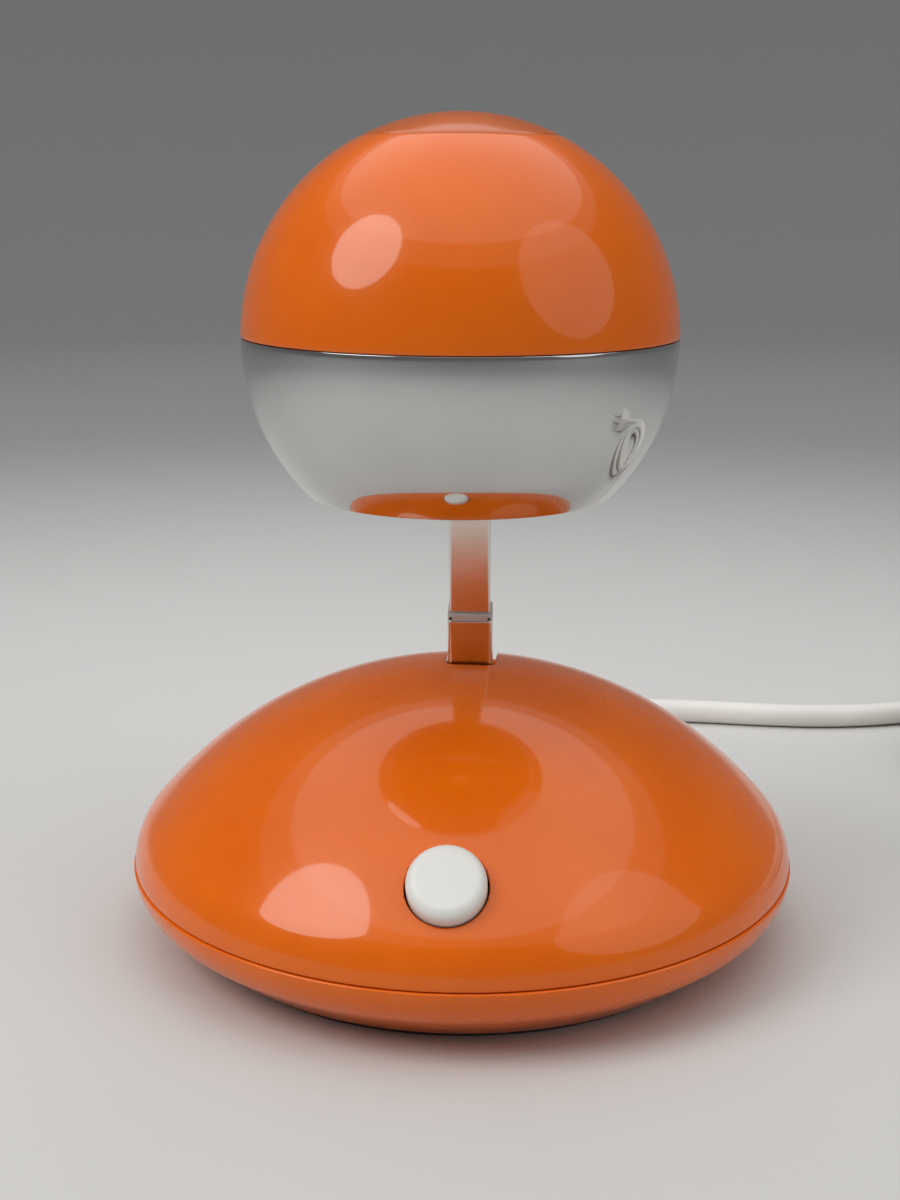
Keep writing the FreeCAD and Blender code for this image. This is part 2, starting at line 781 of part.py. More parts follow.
def rod_nut(side):
    start = hinge_here + X_AXIS * side * rod_nut_x
    return hex_nut(rod_nut_width, rod_bore, start, X_AXIS * side, rod_nut_height)


def rod_washer(side):
    start = hinge_here + X_AXIS * (arm_side + side * washer_x)
    return ring(eye_radius - rod_washer_inset, rod_bore, start, X_AXIS * side, rod_washer_thickness)


def rod_collar(side):
    start = hinge_here + X_AXIS * (arm_side + side * (washer_x + rod_washer_thickness))
    return ring(rod_collar_radius, rod_bore, start, X_AXIS * side, rod_collar_length)


save("head_top_shell", on_head(head_top_shell()))
save("head_top_cap", on_head(head_top_cap()))
save("head_bottom_shell", on_head(head_bottom_shell()))
save("cross_rod", on_head(cross_rod()))
save("rod_bosses", on_head(rod_boss(-1)), on_head(rod_boss(1)))
save("rod_nuts", on_head(rod_nut(-1)), on_head(rod_nut(1)))
save("rod_washers", on_head(rod_washer(-1)), on_head(rod_washer(1)))
save("rod_collars", on_head(rod_collar(-1)), on_head(rod_collar(1)))


# Lampholder and bulb, hung from a bridge plate in the top shell

holder_radius = bulb_cap_radius + fit_gap + holder_wall
cap_top = bulb_rise + bulb_seat + bulb_cap_height
bridge_top = bridge_height + bridge_sheet


def bridge_plate():
    outer = math.sqrt(bore_radius ** 2 - bridge_top ** 2) - fit_gap
    plate = ring(outer, nipple_radius + seat_gap, V(0, 0, bridge_height), Z_AXIS, bridge_sheet)
    for i in range(bridge_vents):
        spot = at_angle((0.0, 0.0), bridge_vent_ring, 360.0 * i / bridge_vents)
        plate = plate.cut(rod(bridge_vent_radius, V(spot[0], spot[1], bridge_height), Z_AXIS, bridge_sheet))
    return plate


def lamp_holder():
    bottom = bulb_rise + bulb_seat + holder_wall
    body = rod(holder_radius, V(0, 0, bottom), Z_AXIS, bridge_height - bottom)
    body = body.cut(rod(bulb_cap_radius + fit_gap, V(0, 0, bottom), Z_AXIS, cap_top + fit_gap - bottom))
    body = body.fuse(rod(nipple_radius, V(0, 0, bridge_height), Z_AXIS, bridge_sheet + nipple_rise))
    return body.cut(rod(nipple_bore, V(0, 0, bottom), Z_AXIS, head_radius))


def bulb_glass():
    neck_rise = math.sqrt(glass_radius ** 2 - glass_neck_radius ** 2)
    neck = rod(glass_neck_radius, V(0, 0, neck_rise / 2), Z_AXIS, bulb_seat - neck_rise / 2)
    outer = ball(glass_radius).fuse(neck)
    hollow_neck = rod(glass_neck_radius - glass_wall, V(0, 0, 0), Z_AXIS, bulb_seat)
    hollow = ball(glass_radius - glass_wall).fuse(hollow_neck)
    return moved(outer.cut(hollow).removeSplitter(), V(0, 0, bulb_rise))


def bulb_cap():
    return rod(bulb_cap_radius, V(0, 0, bulb_rise + bulb_seat), Z_AXIS, bulb_cap_height)


def bulb_filament():
    coil = rod(filament_radius, V(-filament_length / 2, 0, bulb_rise), X_AXIS, filament_length)
    for side in (-1, 1):
        post = rod(filament_post_radius, V(side * filament_length / 2, 0, bulb_rise), Z_AXIS, bulb_seat)
        coil = coil.fuse(post)
    return coil


save("bridge_plate", on_head(bridge_plate()))
save("lamp_holder", on_head(lamp_holder()))
holder_bore = nipple_radius + seat_gap
holder_nut = hex_nut(holder_nut_width, holder_bore, V(0, 0, bridge_top), Z_AXIS, holder_nut_height)
save("holder_nut", on_head(holder_nut))
save("bulb_glass", on_head(bulb_glass()))
save("bulb_cap", on_head(bulb_cap()))
save("bulb_filament", on_head(bulb_filament()))


# Cord: strain relief, free stretch, coil, tie and plug

def cord_gland():
    inner_face = gland_boss_face - gland_neck_length
    gland = spin(
        (0.0, inner_face),
        (gland_neck_radius, inner_face),
        (gland_neck_radius, gland_boss_face),
        (gland_flange_radius, gland_boss_face),
        (gland_flange_radius, gland_boss_face + gland_flange),
        (gland_flange_radius - gland_taper_inset, gland_boss_face + gland_flange),
        (gland_tip_radius, gland_end),
        (0.0, gland_end))
    gland.Placement = FreeCAD.Placement(V(0, 0, gland_z), FreeCAD.Rotation(Z_AXIS, Y_AXIS))
    return gland


def rounded_path(points):
    # Straight runs joined by tangent arcs, each as large as its two runs allow
    edges = []
    here = points[0]
    radii = []
    for before, corner, after in zip(points, points[1:], points[2:]):
        way_in = (corner - before).normalize()
        way_out = (after - corner).normalize()
        half_turn = way_in.getAngle(way_out) / 2
        shorter = min((corner - before).Length, (after - corner).Length)
        reach = corner_share * shorter
        radius = reach / math.tan(half_turn)
        start = corner - way_in * reach
        end = corner + way_out * reach
        inward = (way_out - way_in).normalize()
        middle = corner + inward * (radius / math.cos(half_turn) - radius)
        edges.append(Part.LineSegment(here, start).toShape())
        edges.append(Part.Arc(start, middle, end).toShape())
        here = end
        radii.append(round(radius, 1))
    edges.append(Part.LineSegment(here, points[-1]).toShape())
    print("cord arc radii:", radii)
    return Part.Wire(edges)


def cord_tube(path, start, direction, label):
    section = Part.Wire([Part.makeCircle(cord_radius, start, direction)])
    tube = path.makePipeShell([section], True, False)
    share = tube.Volume / path.Length / math.pi / cord_radius ** 2
    print(label, "length", round(path.Length, 1), "volume share", round(share, 4))
    return tube


coil_start = cord_points[-1]
coil_outer = coil_middle_radius + coil_turns * coil_pitch / 2
coil_centre = coil_start + V(2 * cord_radius, -coil_outer, 0)
layer_rise = V(0, 0, coil_pitch)


def half_turn(start, radius, heading):
    # A level half circle, turning right; heading is +1 along X at the far side, -1 at the near side
    middle = start + V(heading * radius, -heading * radius, 0)
    end = start + V(0, -heading * 2 * radius, 0)
    return Part.Arc(start, middle, end).toShape(), end


def coil_path():
    edges = [Part.LineSegment(coil_start, coil_start + V(2 * cord_radius, 0, 0)).toShape()]
    here = coil_start + V(2 * cord_radius, 0, 0)
    radius = coil_outer
    heading = 1
    for _ in range(2 * coil_turns):
        edge, here = half_turn(here, radius, heading)
        edges.append(edge)
        radius -= coil_pitch / 2
        heading = -heading
    inner = radius
    landing = here + V(0, -heading * 2 * inner, 0) + layer_rise
    climb_middle = (here + landing) * 0.5 + V(heading * (landing - here).Length / 2, 0, 0)
    edges.append(Part.Arc(here, climb_middle, landing).toShape())
    here = landing
    heading = -heading
    for _ in range(2 * coil_turns - 1):
        radius += coil_pitch / 2
        edge, here = half_turn(here, radius, heading)
        edges.append(edge)
        heading = -heading
    radius += coil_pitch / 2
    corner = here + V(heading * radius, -heading * radius, 0)
    across = radius * math.sin(math.pi / 4)
    bend = here + V(heading * across, -heading * (radius - across), 0)
    edges.append(Part.Arc(here, bend, corner).toShape())
    tail_end = corner + V(0, -heading * tail_length, 0)
    edges.append(Part.LineSegment(corner, tail_end).toShape())
    return Part.Wire(edges), tail_end


def least_self_gap(path):
    points = path.discretize(Distance=2.0)
    step = path.Length / (len(points) - 1)
    skip = int(6 * cord_radius / step)
    least = min((a - b).Length for i, a in enumerate(points) for b in points[i + skip:])
    return least - 2 * cord_radius


def cord_tie():
    outer_x = coil_centre.x - coil_outer + coil_pitch / 2 - cord_radius - tie_gap
    inner_x = outer_x + 2 * tie_gap + 2 * cord_radius + (coil_turns - 1) * coil_pitch
    low = coil_start.z - cord_radius - tie_gap
    high = coil_start.z + coil_pitch + cord_radius + tie_gap
    y0 = coil_centre.y - tie_width / 2
    y1 = coil_centre.y + tie_width / 2
    t = tie_thickness
    band = block(outer_x - t, inner_x + t, y0, y1, low - t, high + t)
    return band.cut(block(outer_x, inner_x, y0, y1, low, high))


def plug_body(end):
    neck = Part.makeCone(plug_neck_tip, plug_neck_radius, plug_neck)
    body = block(-plug_width / 2, plug_width / 2, -end.z, end.z, plug_neck, plug_neck + plug_length)
    long_edges = [e for e in body.Edges if abs(e.BoundBox.ZLength - plug_length) < 1e-6]
    body = body.makeFillet(plug_edge, long_edges)
    plug = neck.fuse(body)
    plug.Placement = FreeCAD.Placement(end, FreeCAD.Rotation(Z_AXIS, -Y_AXIS))
    return plug


def plug_pin(end, side):
    start = end + V(side * pin_spacing / 2, -plug_neck - plug_length, 0)
    return rod(pin_radius, start, -Y_AXIS, pin_length)


lead_path = rounded_path(cord_points)
coil_wire, coil_end = coil_path()
print("least gap between turns:", round(least_self_gap(coil_wire), 2))
save("cord_gland", cord_gland())
save("cord_lead", cord_tube(lead_path, cord_points[0], cord_points[1] - cord_points[0], "cord_lead"))
save("cord_coil", cord_tube(coil_wire, coil_start, X_AXIS, "cord_coil"))
save("cord_tie", cord_tie())
save("plug_body", plug_body(coil_end))
save("plug_pins", plug_pin(coil_end, -1), plug_pin(coil_end, 1))
print("hinge", hinge_point, "head centre", head_centre, "slot", round(slot_front, 2), round(slot_rear, 2))
print("inner tube from", round(inner_bottom, 2), "to", round(inner_top, 2), "hinge at", round(hinge_reach, 2))
print("transformer at", round(transformer_y, 2), "terminal at", round(terminal_y, 2), "switch", round(switch_length, 2))
print("button", button_placement.Base, button_normal, "coil end", coil_end)
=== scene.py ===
import json
import math

import bmesh
import bpy
from mathutils import Matrix, Vector


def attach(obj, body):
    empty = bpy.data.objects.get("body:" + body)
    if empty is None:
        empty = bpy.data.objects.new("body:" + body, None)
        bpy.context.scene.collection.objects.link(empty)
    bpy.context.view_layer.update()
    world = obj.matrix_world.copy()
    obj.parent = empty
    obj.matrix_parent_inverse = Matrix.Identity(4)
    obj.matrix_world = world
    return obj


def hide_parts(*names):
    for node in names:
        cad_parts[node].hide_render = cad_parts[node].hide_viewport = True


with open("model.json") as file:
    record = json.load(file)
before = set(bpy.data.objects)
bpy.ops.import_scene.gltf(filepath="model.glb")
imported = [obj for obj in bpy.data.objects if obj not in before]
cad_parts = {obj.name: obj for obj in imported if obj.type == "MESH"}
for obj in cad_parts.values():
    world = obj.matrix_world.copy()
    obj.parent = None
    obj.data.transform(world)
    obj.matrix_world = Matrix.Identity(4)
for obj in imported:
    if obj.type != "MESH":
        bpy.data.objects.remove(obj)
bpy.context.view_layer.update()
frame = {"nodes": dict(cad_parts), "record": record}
scene = bpy.context.scene
scene.view_settings.view_transform = "Standard"
print("frame loaded:", len(frame["nodes"]), "nodes")

# camera at the photograph's angle, angles in degrees
photoView = {
    "place": (0.014076, -0.310602, 0.143984),
    "yaw": 3.07, "pitch": 14.225, "roll": 0.22,
    "lens": 49.30, "sensor": 36.0, "near": 0.01,
}


def turnAbout(axis, angle):
    return Matrix.Rotation(math.radians(angle), 4, axis)


def placeCamera(view):
    camera = bpy.data.objects.new("photoCamera", bpy.data.cameras.new("photoCamera"))
    scene.collection.objects.link(camera)
    turn = turnAbout("Z", view["yaw"])
    turn = turn @ turnAbout("X", 90 - view["pitch"])
    turn = turn @ turnAbout("Z", view["roll"])
    camera.matrix_world = Matrix.Translation(view["place"]) @ turn
    camera.data.lens = view["lens"]
    camera.data.sensor_width = view["sensor"]
    camera.data.clip_start = view["near"]
    scene.camera = camera


placeCamera(photoView)
print("camera placed")


# shared effects
toneLook = {"scale": 40.0, "detail": 4.0, "contrast": (0.32, 0.68)}
grainLook = {"scale": 900.0, "detail": 2.0}
plainLook = {
    "toneScale": 45.0, "glossScale": 110.0, "metal": 0.0, "specular": 0.5,
    "coat": 0.0, "coatRough": 0.05, "sheen": 0.0,
    "grainScale": 900.0, "stretch": (1.0, 1.0, 1.0), "turn": (0.0, 0.0, 0.0),
    "bump": 0.05, "bumpDepth": 0.0002,
}


def newGroup(name, inputs, outputs):
    group = bpy.data.node_groups.new(name, "ShaderNodeTree")
    for label, kind, value in inputs:
        socket = group.interface.new_socket(label, in_out="INPUT", socket_type=kind)
        socket.default_value = value
    for label, kind in outputs:
        group.interface.new_socket(label, in_out="OUTPUT", socket_type=kind)
    return group, group.nodes.new("NodeGroupInput"), group.nodes.new("NodeGroupOutput")


def makeTone(t):
    # a soft cloudy value between two ends, for small changes of colour and gloss
    inputs = [("Scale", "NodeSocketFloat", t["scale"]),
              ("Low", "NodeSocketFloat", 0.0),
              ("High", "NodeSocketFloat", 1.0)]
    group, given, out = newGroup("cloudyTone", inputs, [("Value", "NodeSocketFloat")])
    coords = group.nodes.new("ShaderNodeTexCoord")
    noise = group.nodes.new("ShaderNodeTexNoise")
    noise.inputs["Detail"].default_value = t["detail"]
    spread = group.nodes.new("ShaderNodeMapRange")
    spread.inputs["From Min"].default_value = t["contrast"][0]
    spread.inputs["From Max"].default_value = t["contrast"][1]
    group.links.new(coords.outputs["Object"], noise.inputs["Vector"])
    group.links.new(given.outputs["Scale"], noise.inputs["Scale"])
    group.links.new(noise.outputs["Fac"], spread.inputs["Value"])
    group.links.new(given.outputs["Low"], spread.inputs["To Min"])
    group.links.new(given.outputs["High"], spread.inputs["To Max"])
    group.links.new(spread.outputs["Result"], out.inputs["Value"])
    return group


def makeGrain(g):
    # fine grain that can be stretched and turned: peel of paint, drawn lines of a tube, felt
    inputs = [("Stretch", "NodeSocketVector", (1.0, 1.0, 1.0)),
              ("Turn", "NodeSocketVector", (0.0, 0.0, 0.0)),
              ("Scale", "NodeSocketFloat", g["scale"])]
    group, given, out = newGroup("fineGrain", inputs, [("Height", "NodeSocketFloat")])
    coords = group.nodes.new("ShaderNodeTexCoord")
    mapping = group.nodes.new("ShaderNodeMapping")
    noise = group.nodes.new("ShaderNodeTexNoise")
    noise.inputs["Detail"].default_value = g["detail"]
    turned = group.nodes.new("ShaderNodeMapping")
    group.links.new(coords.outputs["Object"], turned.inputs["Vector"])
    group.links.new(given.outputs["Turn"], turned.inputs["Rotation"])
    group.links.new(turned.outputs["Vector"], mapping.inputs["Vector"])
    group.links.new(given.outputs["Stretch"], mapping.inputs["Scale"])
    group.links.new(mapping.outputs["Vector"], noise.inputs["Vector"])
    group.links.new(given.outputs["Scale"], noise.inputs["Scale"])
    group.links.new(noise.outputs["Fac"], out.inputs["Height"])
    return group


toneGroup = makeTone(toneLook)
grainGroup = makeGrain(grainLook)


def placeGroup(tree, group, **values):
    node = tree.nodes.new("ShaderNodeGroup")
    node.node_tree = group
    for label, value in values.items():
        node.inputs[label].default_value = value
    return node


def makeFinish(name, changes):
    look = plainLook | changes
    material = bpy.data.materials.new(name)
    material.use_nodes = True
    tree = material.node_tree
    shader = tree.nodes["Principled BSDF"]
    mix = tree.nodes.new("ShaderNodeMix")
    mix.data_type = "RGBA"
    mix.inputs["A"].default_value = (*look["colour"], 1.0)
    mix.inputs["B"].default_value = (*look["shade"], 1.0)
    colourTone = placeGroup(tree, toneGroup, Scale=look["toneScale"])
    tree.links.new(colourTone.outputs["Value"], mix.inputs["Factor"])
    tree.links.new(mix.outputs["Result"], shader.inputs["Base Color"])
    low, high = look["rough"]
    glossTone = placeGroup(tree, toneGroup, Scale=look["glossScale"], Low=low, High=high)
    tree.links.new(glossTone.outputs["Value"], shader.inputs["Roughness"])
    shader.inputs["Metallic"].default_value = look["metal"]
    shader.inputs["Specular IOR Level"].default_value = look["specular"]
    shader.inputs["Coat Weight"].default_value = look["coat"]
    shader.inputs["Coat Roughness"].default_value = look["coatRough"]
    shader.inputs["Sheen Weight"].default_value = look["sheen"]
    grain = placeGroup(tree, grainGroup, Scale=look["grainScale"], Stretch=look["stretch"], Turn=look["turn"])
    bump = tree.nodes.new("ShaderNodeBump")
    bump.inputs["Strength"].default_value = look["bump"]
    bump.inputs["Distance"].default_value = look["bumpDepth"]
    tree.links.new(grain.outputs["Height"], bump.inputs["Height"])
    tree.links.new(bump.outputs["Normal"], shader.inputs["Normal"])
    return material


armLean = 15.5  # degrees, shared by the arm and the drawn lines of its tubes
finishes = {
    "orangePaint": {"colour": (0.84, 0.152, 0.003), "shade": (0.78, 0.132, 0.002), "rough": (0.24, 0.34),
                    "specular": 0.12, "coat": 0.65, "coatRough": 0.06, "bump": 0.02, "grainScale": 700.0},
    # the cap is the same orange paint as the ball, drawn darker here as painted shade
    "capPaintedShade": {"colour": (0.60, 0.112, 0.003), "shade": (0.52, 0.096, 0.002), "rough": (0.30, 0.40),
                 "specular": 0.2, "coat": 0.6, "coatRough": 0.08, "bump": 0.03},
    "chromeSkin": {"colour": (0.57, 0.57, 0.565), "shade": (0.53, 0.53, 0.525), "rough": (0.035, 0.06),
                   "metal": 1.0, "bump": 0.01},
    "nickelTube": {"colour": (0.74, 0.72, 0.68), "shade": (0.68, 0.66, 0.62), "rough": (0.20, 0.26),
                   "metal": 1.0, "bump": 0.03, "bumpDepth": 0.0001, "grainScale": 1100.0,
                   "stretch": (1.0, 1.0, 0.01), "turn": (-math.radians(armLean), 0.0, 0.0)},
    "bushPlastic": {"colour": (0.60, 0.54, 0.51), "shade": (0.52, 0.47, 0.45), "rough": (0.45, 0.60),
                    "bump": 0.05},
    "whitePlastic": {"colour": (0.84, 0.82, 0.78), "shade": (0.79, 0.77, 0.72), "rough": (0.30, 0.42),
                     "bump": 0.05, "grainScale": 1600.0},
    "cordSkin": {"colour": (0.83, 0.81, 0.77), "shade": (0.76, 0.74, 0.70), "rough": (0.38, 0.52),
                 "bump": 0.08, "grainScale": 500.0},
    "feltCloth": {"colour": (0.035, 0.035, 0.037), "shade": (0.015, 0.015, 0.016), "rough": (0.88, 0.98),
                  "sheen": 0.3, "bump": 0.6, "bumpDepth": 0.0006, "grainScale": 1800.0, "toneScale": 300.0},
    "brightSteel": {"colour": (0.62, 0.62, 0.63), "shade": (0.50, 0.50, 0.52), "rough": (0.24, 0.40),
                    "metal": 1.0, "bump": 0.05},
    "darkIron": {"colour": (0.13, 0.13, 0.135), "shade": (0.08, 0.078, 0.076), "rough": (0.55, 0.75),
                 "metal": 0.6, "bump": 0.25},
    "copperWire": {"colour": (0.72, 0.30, 0.12), "shade": (0.55, 0.20, 0.08), "rough": (0.25, 0.40),
                   "metal": 1.0, "bump": 0.7, "bumpDepth": 0.0005, "grainScale": 2200.0,
                   "stretch": (0.02, 0.02, 1.0)},
    # black plastic for the switch body, and painted shade for the two dimple dots on the arm's mouth band
    "blackPlasticAndDimpleShade": {"colour": (0.025, 0.025, 0.026), "shade": (0.015, 0.015, 0.016), "rough": (0.42, 0.55),
                     "bump": 0.08},
    "whiteCeramic": {"colour": (0.80, 0.78, 0.73), "shade": (0.72, 0.70, 0.65), "rough": (0.30, 0.45),
                     "coat": 0.3, "bump": 0.06},
    "brassSkin": {"colour": (0.74, 0.56, 0.25), "shade": (0.62, 0.45, 0.18), "rough": (0.22, 0.36),
                  "metal": 1.0, "bump": 0.04},
    "bulbGlass": {"colour": (1.0, 1.0, 1.0), "shade": (0.98, 0.985, 0.985), "rough": (0.01, 0.03),
                  "bump": 0.01},
    "warmFilament": {"colour": (0.9, 0.6, 0.3), "shade": (0.8, 0.5, 0.2), "rough": (0.4, 0.6),
                     "metal": 0.5},
}
bulbLook = {"clear": 1.0, "index": 1.45, "glow": (1.0, 0.62, 0.25), "strength": 3.0}


def lightBulb(glass, filament, b):
    glass = glass.node_tree.nodes["Principled BSDF"]
    glass.inputs["Transmission Weight"].default_value = b["clear"]
    glass.inputs["IOR"].default_value = b["index"]
    filament = filament.node_tree.nodes["Principled BSDF"]
    filament.inputs["Emission Color"].default_value = (*b["glow"], 1.0)
    filament.inputs["Emission Strength"].default_value = b["strength"]


skins = {name: makeFinish(name, changes) for name, changes in finishes.items()}
lightBulb(skins["bulbGlass"], skins["warmFilament"], bulbLook)
print("finishes made:", len(skins))


# modelling helpers
meshing = {"merge": 1e-6, "level": 1e-7, "sharp": 35.0, "ribbedSharp": 50.0}


def arc(centre, radius, start, end, steps):
    angles = [math.radians(start + (end - start) * i / steps) for i in range(steps + 1)]
    return [(centre[0] + radius * math.cos(a), centre[1] + radius * math.sin(a)) for a in angles]


def spinOutline(outline, segments, closed=False):
    shape = bmesh.new()
    verts = [shape.verts.new((x, 0.0, z)) for x, z in outline]
    for a, b in zip(verts, verts[1:]):
        shape.edges.new((a, b))
    if closed:
        shape.edges.new((verts[-1], verts[0]))
    bmesh.ops.spin(shape, geom=shape.verts[:] + shape.edges[:], cent=(0, 0, 0), axis=(0, 0, 1),
                   dvec=(0, 0, 0), angle=2 * math.pi, steps=segments, use_merge=True)
    bmesh.ops.remove_doubles(shape, verts=shape.verts, dist=meshing["merge"])
    bmesh.ops.recalc_face_normals(shape, faces=shape.faces)
    return shape


def moveShape(shape, matrix):
    bmesh.ops.transform(shape, matrix=matrix, verts=shape.verts)
    return shape


def roundEdges(shape, edges, width, segments=3):
    bmesh.ops.bevel(shape, geom=edges, offset=width, offset_type="OFFSET", affect="EDGES",
                    segments=segments, profile=0.5, material=-1)


def addRod(shape, radius, length, segments, matrix):
    bmesh.ops.create_cone(shape, cap_ends=True, segments=segments, radius1=radius, radius2=radius,
                          depth=length, matrix=matrix)


def roundedBar(width, depth, low, high, corner, segments):
    shape = bmesh.new()
    bmesh.ops.create_cube(shape, size=1.0)
    bmesh.ops.scale(shape, vec=(width, depth, high - low), verts=shape.verts)
    bmesh.ops.translate(shape, vec=(0.0, 0.0, (low + high) / 2), verts=shape.verts)
    upright = [e for e in shape.edges if abs(e.verts[0].co.z - e.verts[1].co.z) > meshing["merge"]]
    roundEdges(shape, upright, corner, segments)
    return shape


def joinInto(shape, other):
    mesh = bpy.data.meshes.new("joined")
    other.to_mesh(mesh)
    other.free()
    shape.from_mesh(mesh)
    bpy.data.meshes.remove(mesh)


def markSharp(mesh, sharpness):
    mesh.set_sharp_from_angle(angle=math.radians(sharpness))


def asObject(name, shape, skin, sharpness=meshing["sharp"]):
    mesh = bpy.data.meshes.new(name)
    shape.to_mesh(mesh)
    shape.free()
    mesh.polygons.foreach_set("use_smooth", [True] * len(mesh.polygons))
    markSharp(mesh, sharpness)
    mesh.materials.append(skins[skin])
    piece = bpy.data.objects.new(name, mesh)
    scene.collection.objects.link(piece)
    return piece


def evenShade(piece):
    # flat faces keep a flat shade beside their rounded edges
    weigh = piece.modifiers.new("weigh", "WEIGHTED_NORMAL")
    weigh.keep_sharp = True
    return piece


def mountPiece(piece, body, slotName, *nodes):
    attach(piece, body)
    if nodes:
        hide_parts(*nodes)
    return piece


def cutAway(piece, cutters):
    for cutter in cutters:
        cut = piece.modifiers.new("cut", "BOOLEAN")
        cut.operation = "DIFFERENCE"
        cut.solver = "EXACT"
        cut.object = cutter
    bpy.context.view_layer.update()
    result = bpy.data.meshes.new_from_object(piece.evaluated_get(bpy.context.evaluated_depsgraph_get()))
    old = piece.data
    piece.modifiers.clear()
    piece.data = result
    bpy.data.meshes.remove(old)
    for cutter in cutters:
        bpy.data.objects.remove(cutter)
    markSharp(result, meshing["sharp"])
    return piece


# mains cord: lead, two layers of turns, tail
cordRun = {
    "radius": 0.0031,
    "lead": [(0.0, 0.0805, 0.0077), (0.0, 0.0935, 0.0077), (0.0046, 0.1069, 0.0061), (0.0140, 0.1175, 0.0043),
             (0.0270, 0.1235, 0.0033), (0.0425, 0.1251, 0.0031), (0.0600, 0.1246, 0.0031),
             (0.0780, 0.1226, 0.0031), (0.0950, 0.1224, 0.0031), (0.1110, 0.1256, 0.0031),
             (0.1270, 0.1310, 0.0035), (0.1415, 0.1340, 0.0046), (0.1558, 0.1340, 0.0046)],
    "turns": 3, "pitch": 0.0067, "middleRadius": 0.0372, "pointsPerHalf": 12,
    "tail": 0.040, "tailShares": (0.25, 0.5, 0.75, 1.0), "length": 1.709, "fineness": 5,
}


def halfTurn(points, start, radius, heading, rise, count):
    # points of a half circle to the right, a little outside it because the spline runs inside them
    swell = 1.0 / (0.75 + 0.25 * math.cos(math.pi / count))
    centre = Vector(start) + Vector((0.0, -heading * radius, 0.0))
    for k in range(1, count + 1):
        a = math.pi * k / count
        across = heading * radius * swell * math.sin(a)
        along = heading * radius * swell * math.cos(a)
        points.append((centre.x + across, centre.y + along, start[2] + rise * (1 - math.cos(a)) / 2))
    return (start[0], start[1] - heading * 2 * radius, start[2] + rise)


def cordPoints(run):
    points = list(run["lead"])
    count = run["pointsPerHalf"]
    step = run["pitch"] / 2
    here = (points[-1][0] + 2 * run["radius"], points[-1][1], points[-1][2])
    points.append(here)
    radius = run["middleRadius"] + run["turns"] * run["pitch"] / 2
    heading = 1
    for _ in range(2 * run["turns"]):  # lower layer, inwards
        here = halfTurn(points, here, radius, heading, 0.0, count)
        radius -= step
        heading = -heading
    here = halfTurn(points, here, radius, heading, run["pitch"], count)
    heading = -heading
    for _ in range(2 * run["turns"] - 1):  # upper layer, outwards
        radius += step
        here = halfTurn(points, here, radius, heading, 0.0, count)
        heading = -heading
    radius += step
    quarter = []
    halfTurn(quarter, here, radius, heading, 0.0, count)
    points += quarter[:count // 2]
    end = (here[0] + heading * radius, here[1] - heading * radius, here[2])
    points += [(end[0], end[1] - heading * run["tail"] * share, end[2]) for share in run["tailShares"]]
    return points


def makeCord(run):
    curve = bpy.data.curves.new("mainsCord", "CURVE")
    curve.dimensions = "3D"
    curve.bevel_depth = run["radius"]
    curve.bevel_resolution = run["fineness"]
    curve.resolution_u = run["fineness"]
    curve.use_fill_caps = True
    line = curve.splines.new("NURBS")
    points = cordPoints(run)
    line.points.add(len(points) - 1)
    for spot, place in zip(line.points, points):
        spot.co = (*place, 1.0)
    line.order_u = 3
    line.use_endpoint_u = True
    line.use_smooth = True
    curve.materials.append(skins["cordSkin"])
    cord = bpy.data.objects.new("mainsCord", curve)
    scene.collection.objects.link(cord)
    return mountPiece(cord, "base", "cord_white", "cord_lead", "cord_coil"), points[-1]


mainsCord, cordEnd = makeCord(cordRun)
print("cord laid, end at", [round(v, 4) for v in cordEnd])


# base shells, angles in degrees
baseShape = {
    "radius": 0.065, "seam": 0.0147, "top": 0.0516, "wall": 0.002, "gap": 0.0002, "segments": 200,
    "edge": 0.0003, "edgeTurn": 5, "edgeSteps": 6,
    "rim": 0.013, "rimStart": 4.5, "rimSteps": 22, "crownSteps": 60, "innerStart": 2.1, "innerSteps": 10,
    "overhang": 0.0003, "lowerRim": 0.009, "flank": 52.0, "lowerSteps": 20,
    "hollowStart": 20, "hollowSteps": 8,
    "pad": 0.0012, "foot": (0.0006, 0.0004), "lip": (0.0608, 0.0622), "lipTop": 0.0181, "lipFoot": 0.003,
    "slotWidth": 0.0099, "slotFront": 0.00184, "slotRear": 0.0373, "slotCorner": 0.002, "slotSide": 0.0013,
    "slotReach": (0.03, 0.06), "slotSteps": 10, "cutRound": 0.00025,
    "wellRadius": 0.00725, "wellDepth": 0.024, "wellSegments": 96,
    "buttonSpot": (0.0, -0.0555958, 0.0297003), "buttonAngle": 47.0,
}
cutRim = {"reach": 2e-5, "turn": 0.7, "merge": 0.00012, "sliver": 2e-6}


def crownRadius(b):
    rise = b["top"] - b["seam"]
    return ((b["radius"] - b["rim"]) ** 2 + rise ** 2 - b["rim"] ** 2) / (2 * (rise - b["rim"]))


def domeOutline(b):
    rimCentre = (b["radius"] - b["rim"], b["seam"])
    crown = crownRadius(b)
    crownCentre = (0.0, b["top"] - crown)
    blend = math.degrees(math.atan2(b["seam"] - crownCentre[1], rimCentre[0]))
    low = b["seam"] + b["gap"]
    edgeCentre = (b["radius"] - b["edge"], low + b["edge"])
    outline = arc(edgeCentre, b["edge"], -90, -b["edgeTurn"], b["edgeSteps"])
    outline += arc(rimCentre, b["rim"], b["rimStart"], blend, b["rimSteps"])[0:-1]
    outline += arc(crownCentre, crown, blend, 90, b["crownSteps"])
    outline[-1] = (0.0, b["top"])
    inner = arc(crownCentre, crown - b["wall"], 90, blend, b["crownSteps"] // 2)[0:-1]
    inner[0] = (0.0, b["top"] - b["wall"])
    inner += arc(rimCentre, b["rim"] - b["wall"], blend, b["innerStart"], b["innerSteps"])
    return outline + inner + [(inner[-1][0], low), outline[0]]


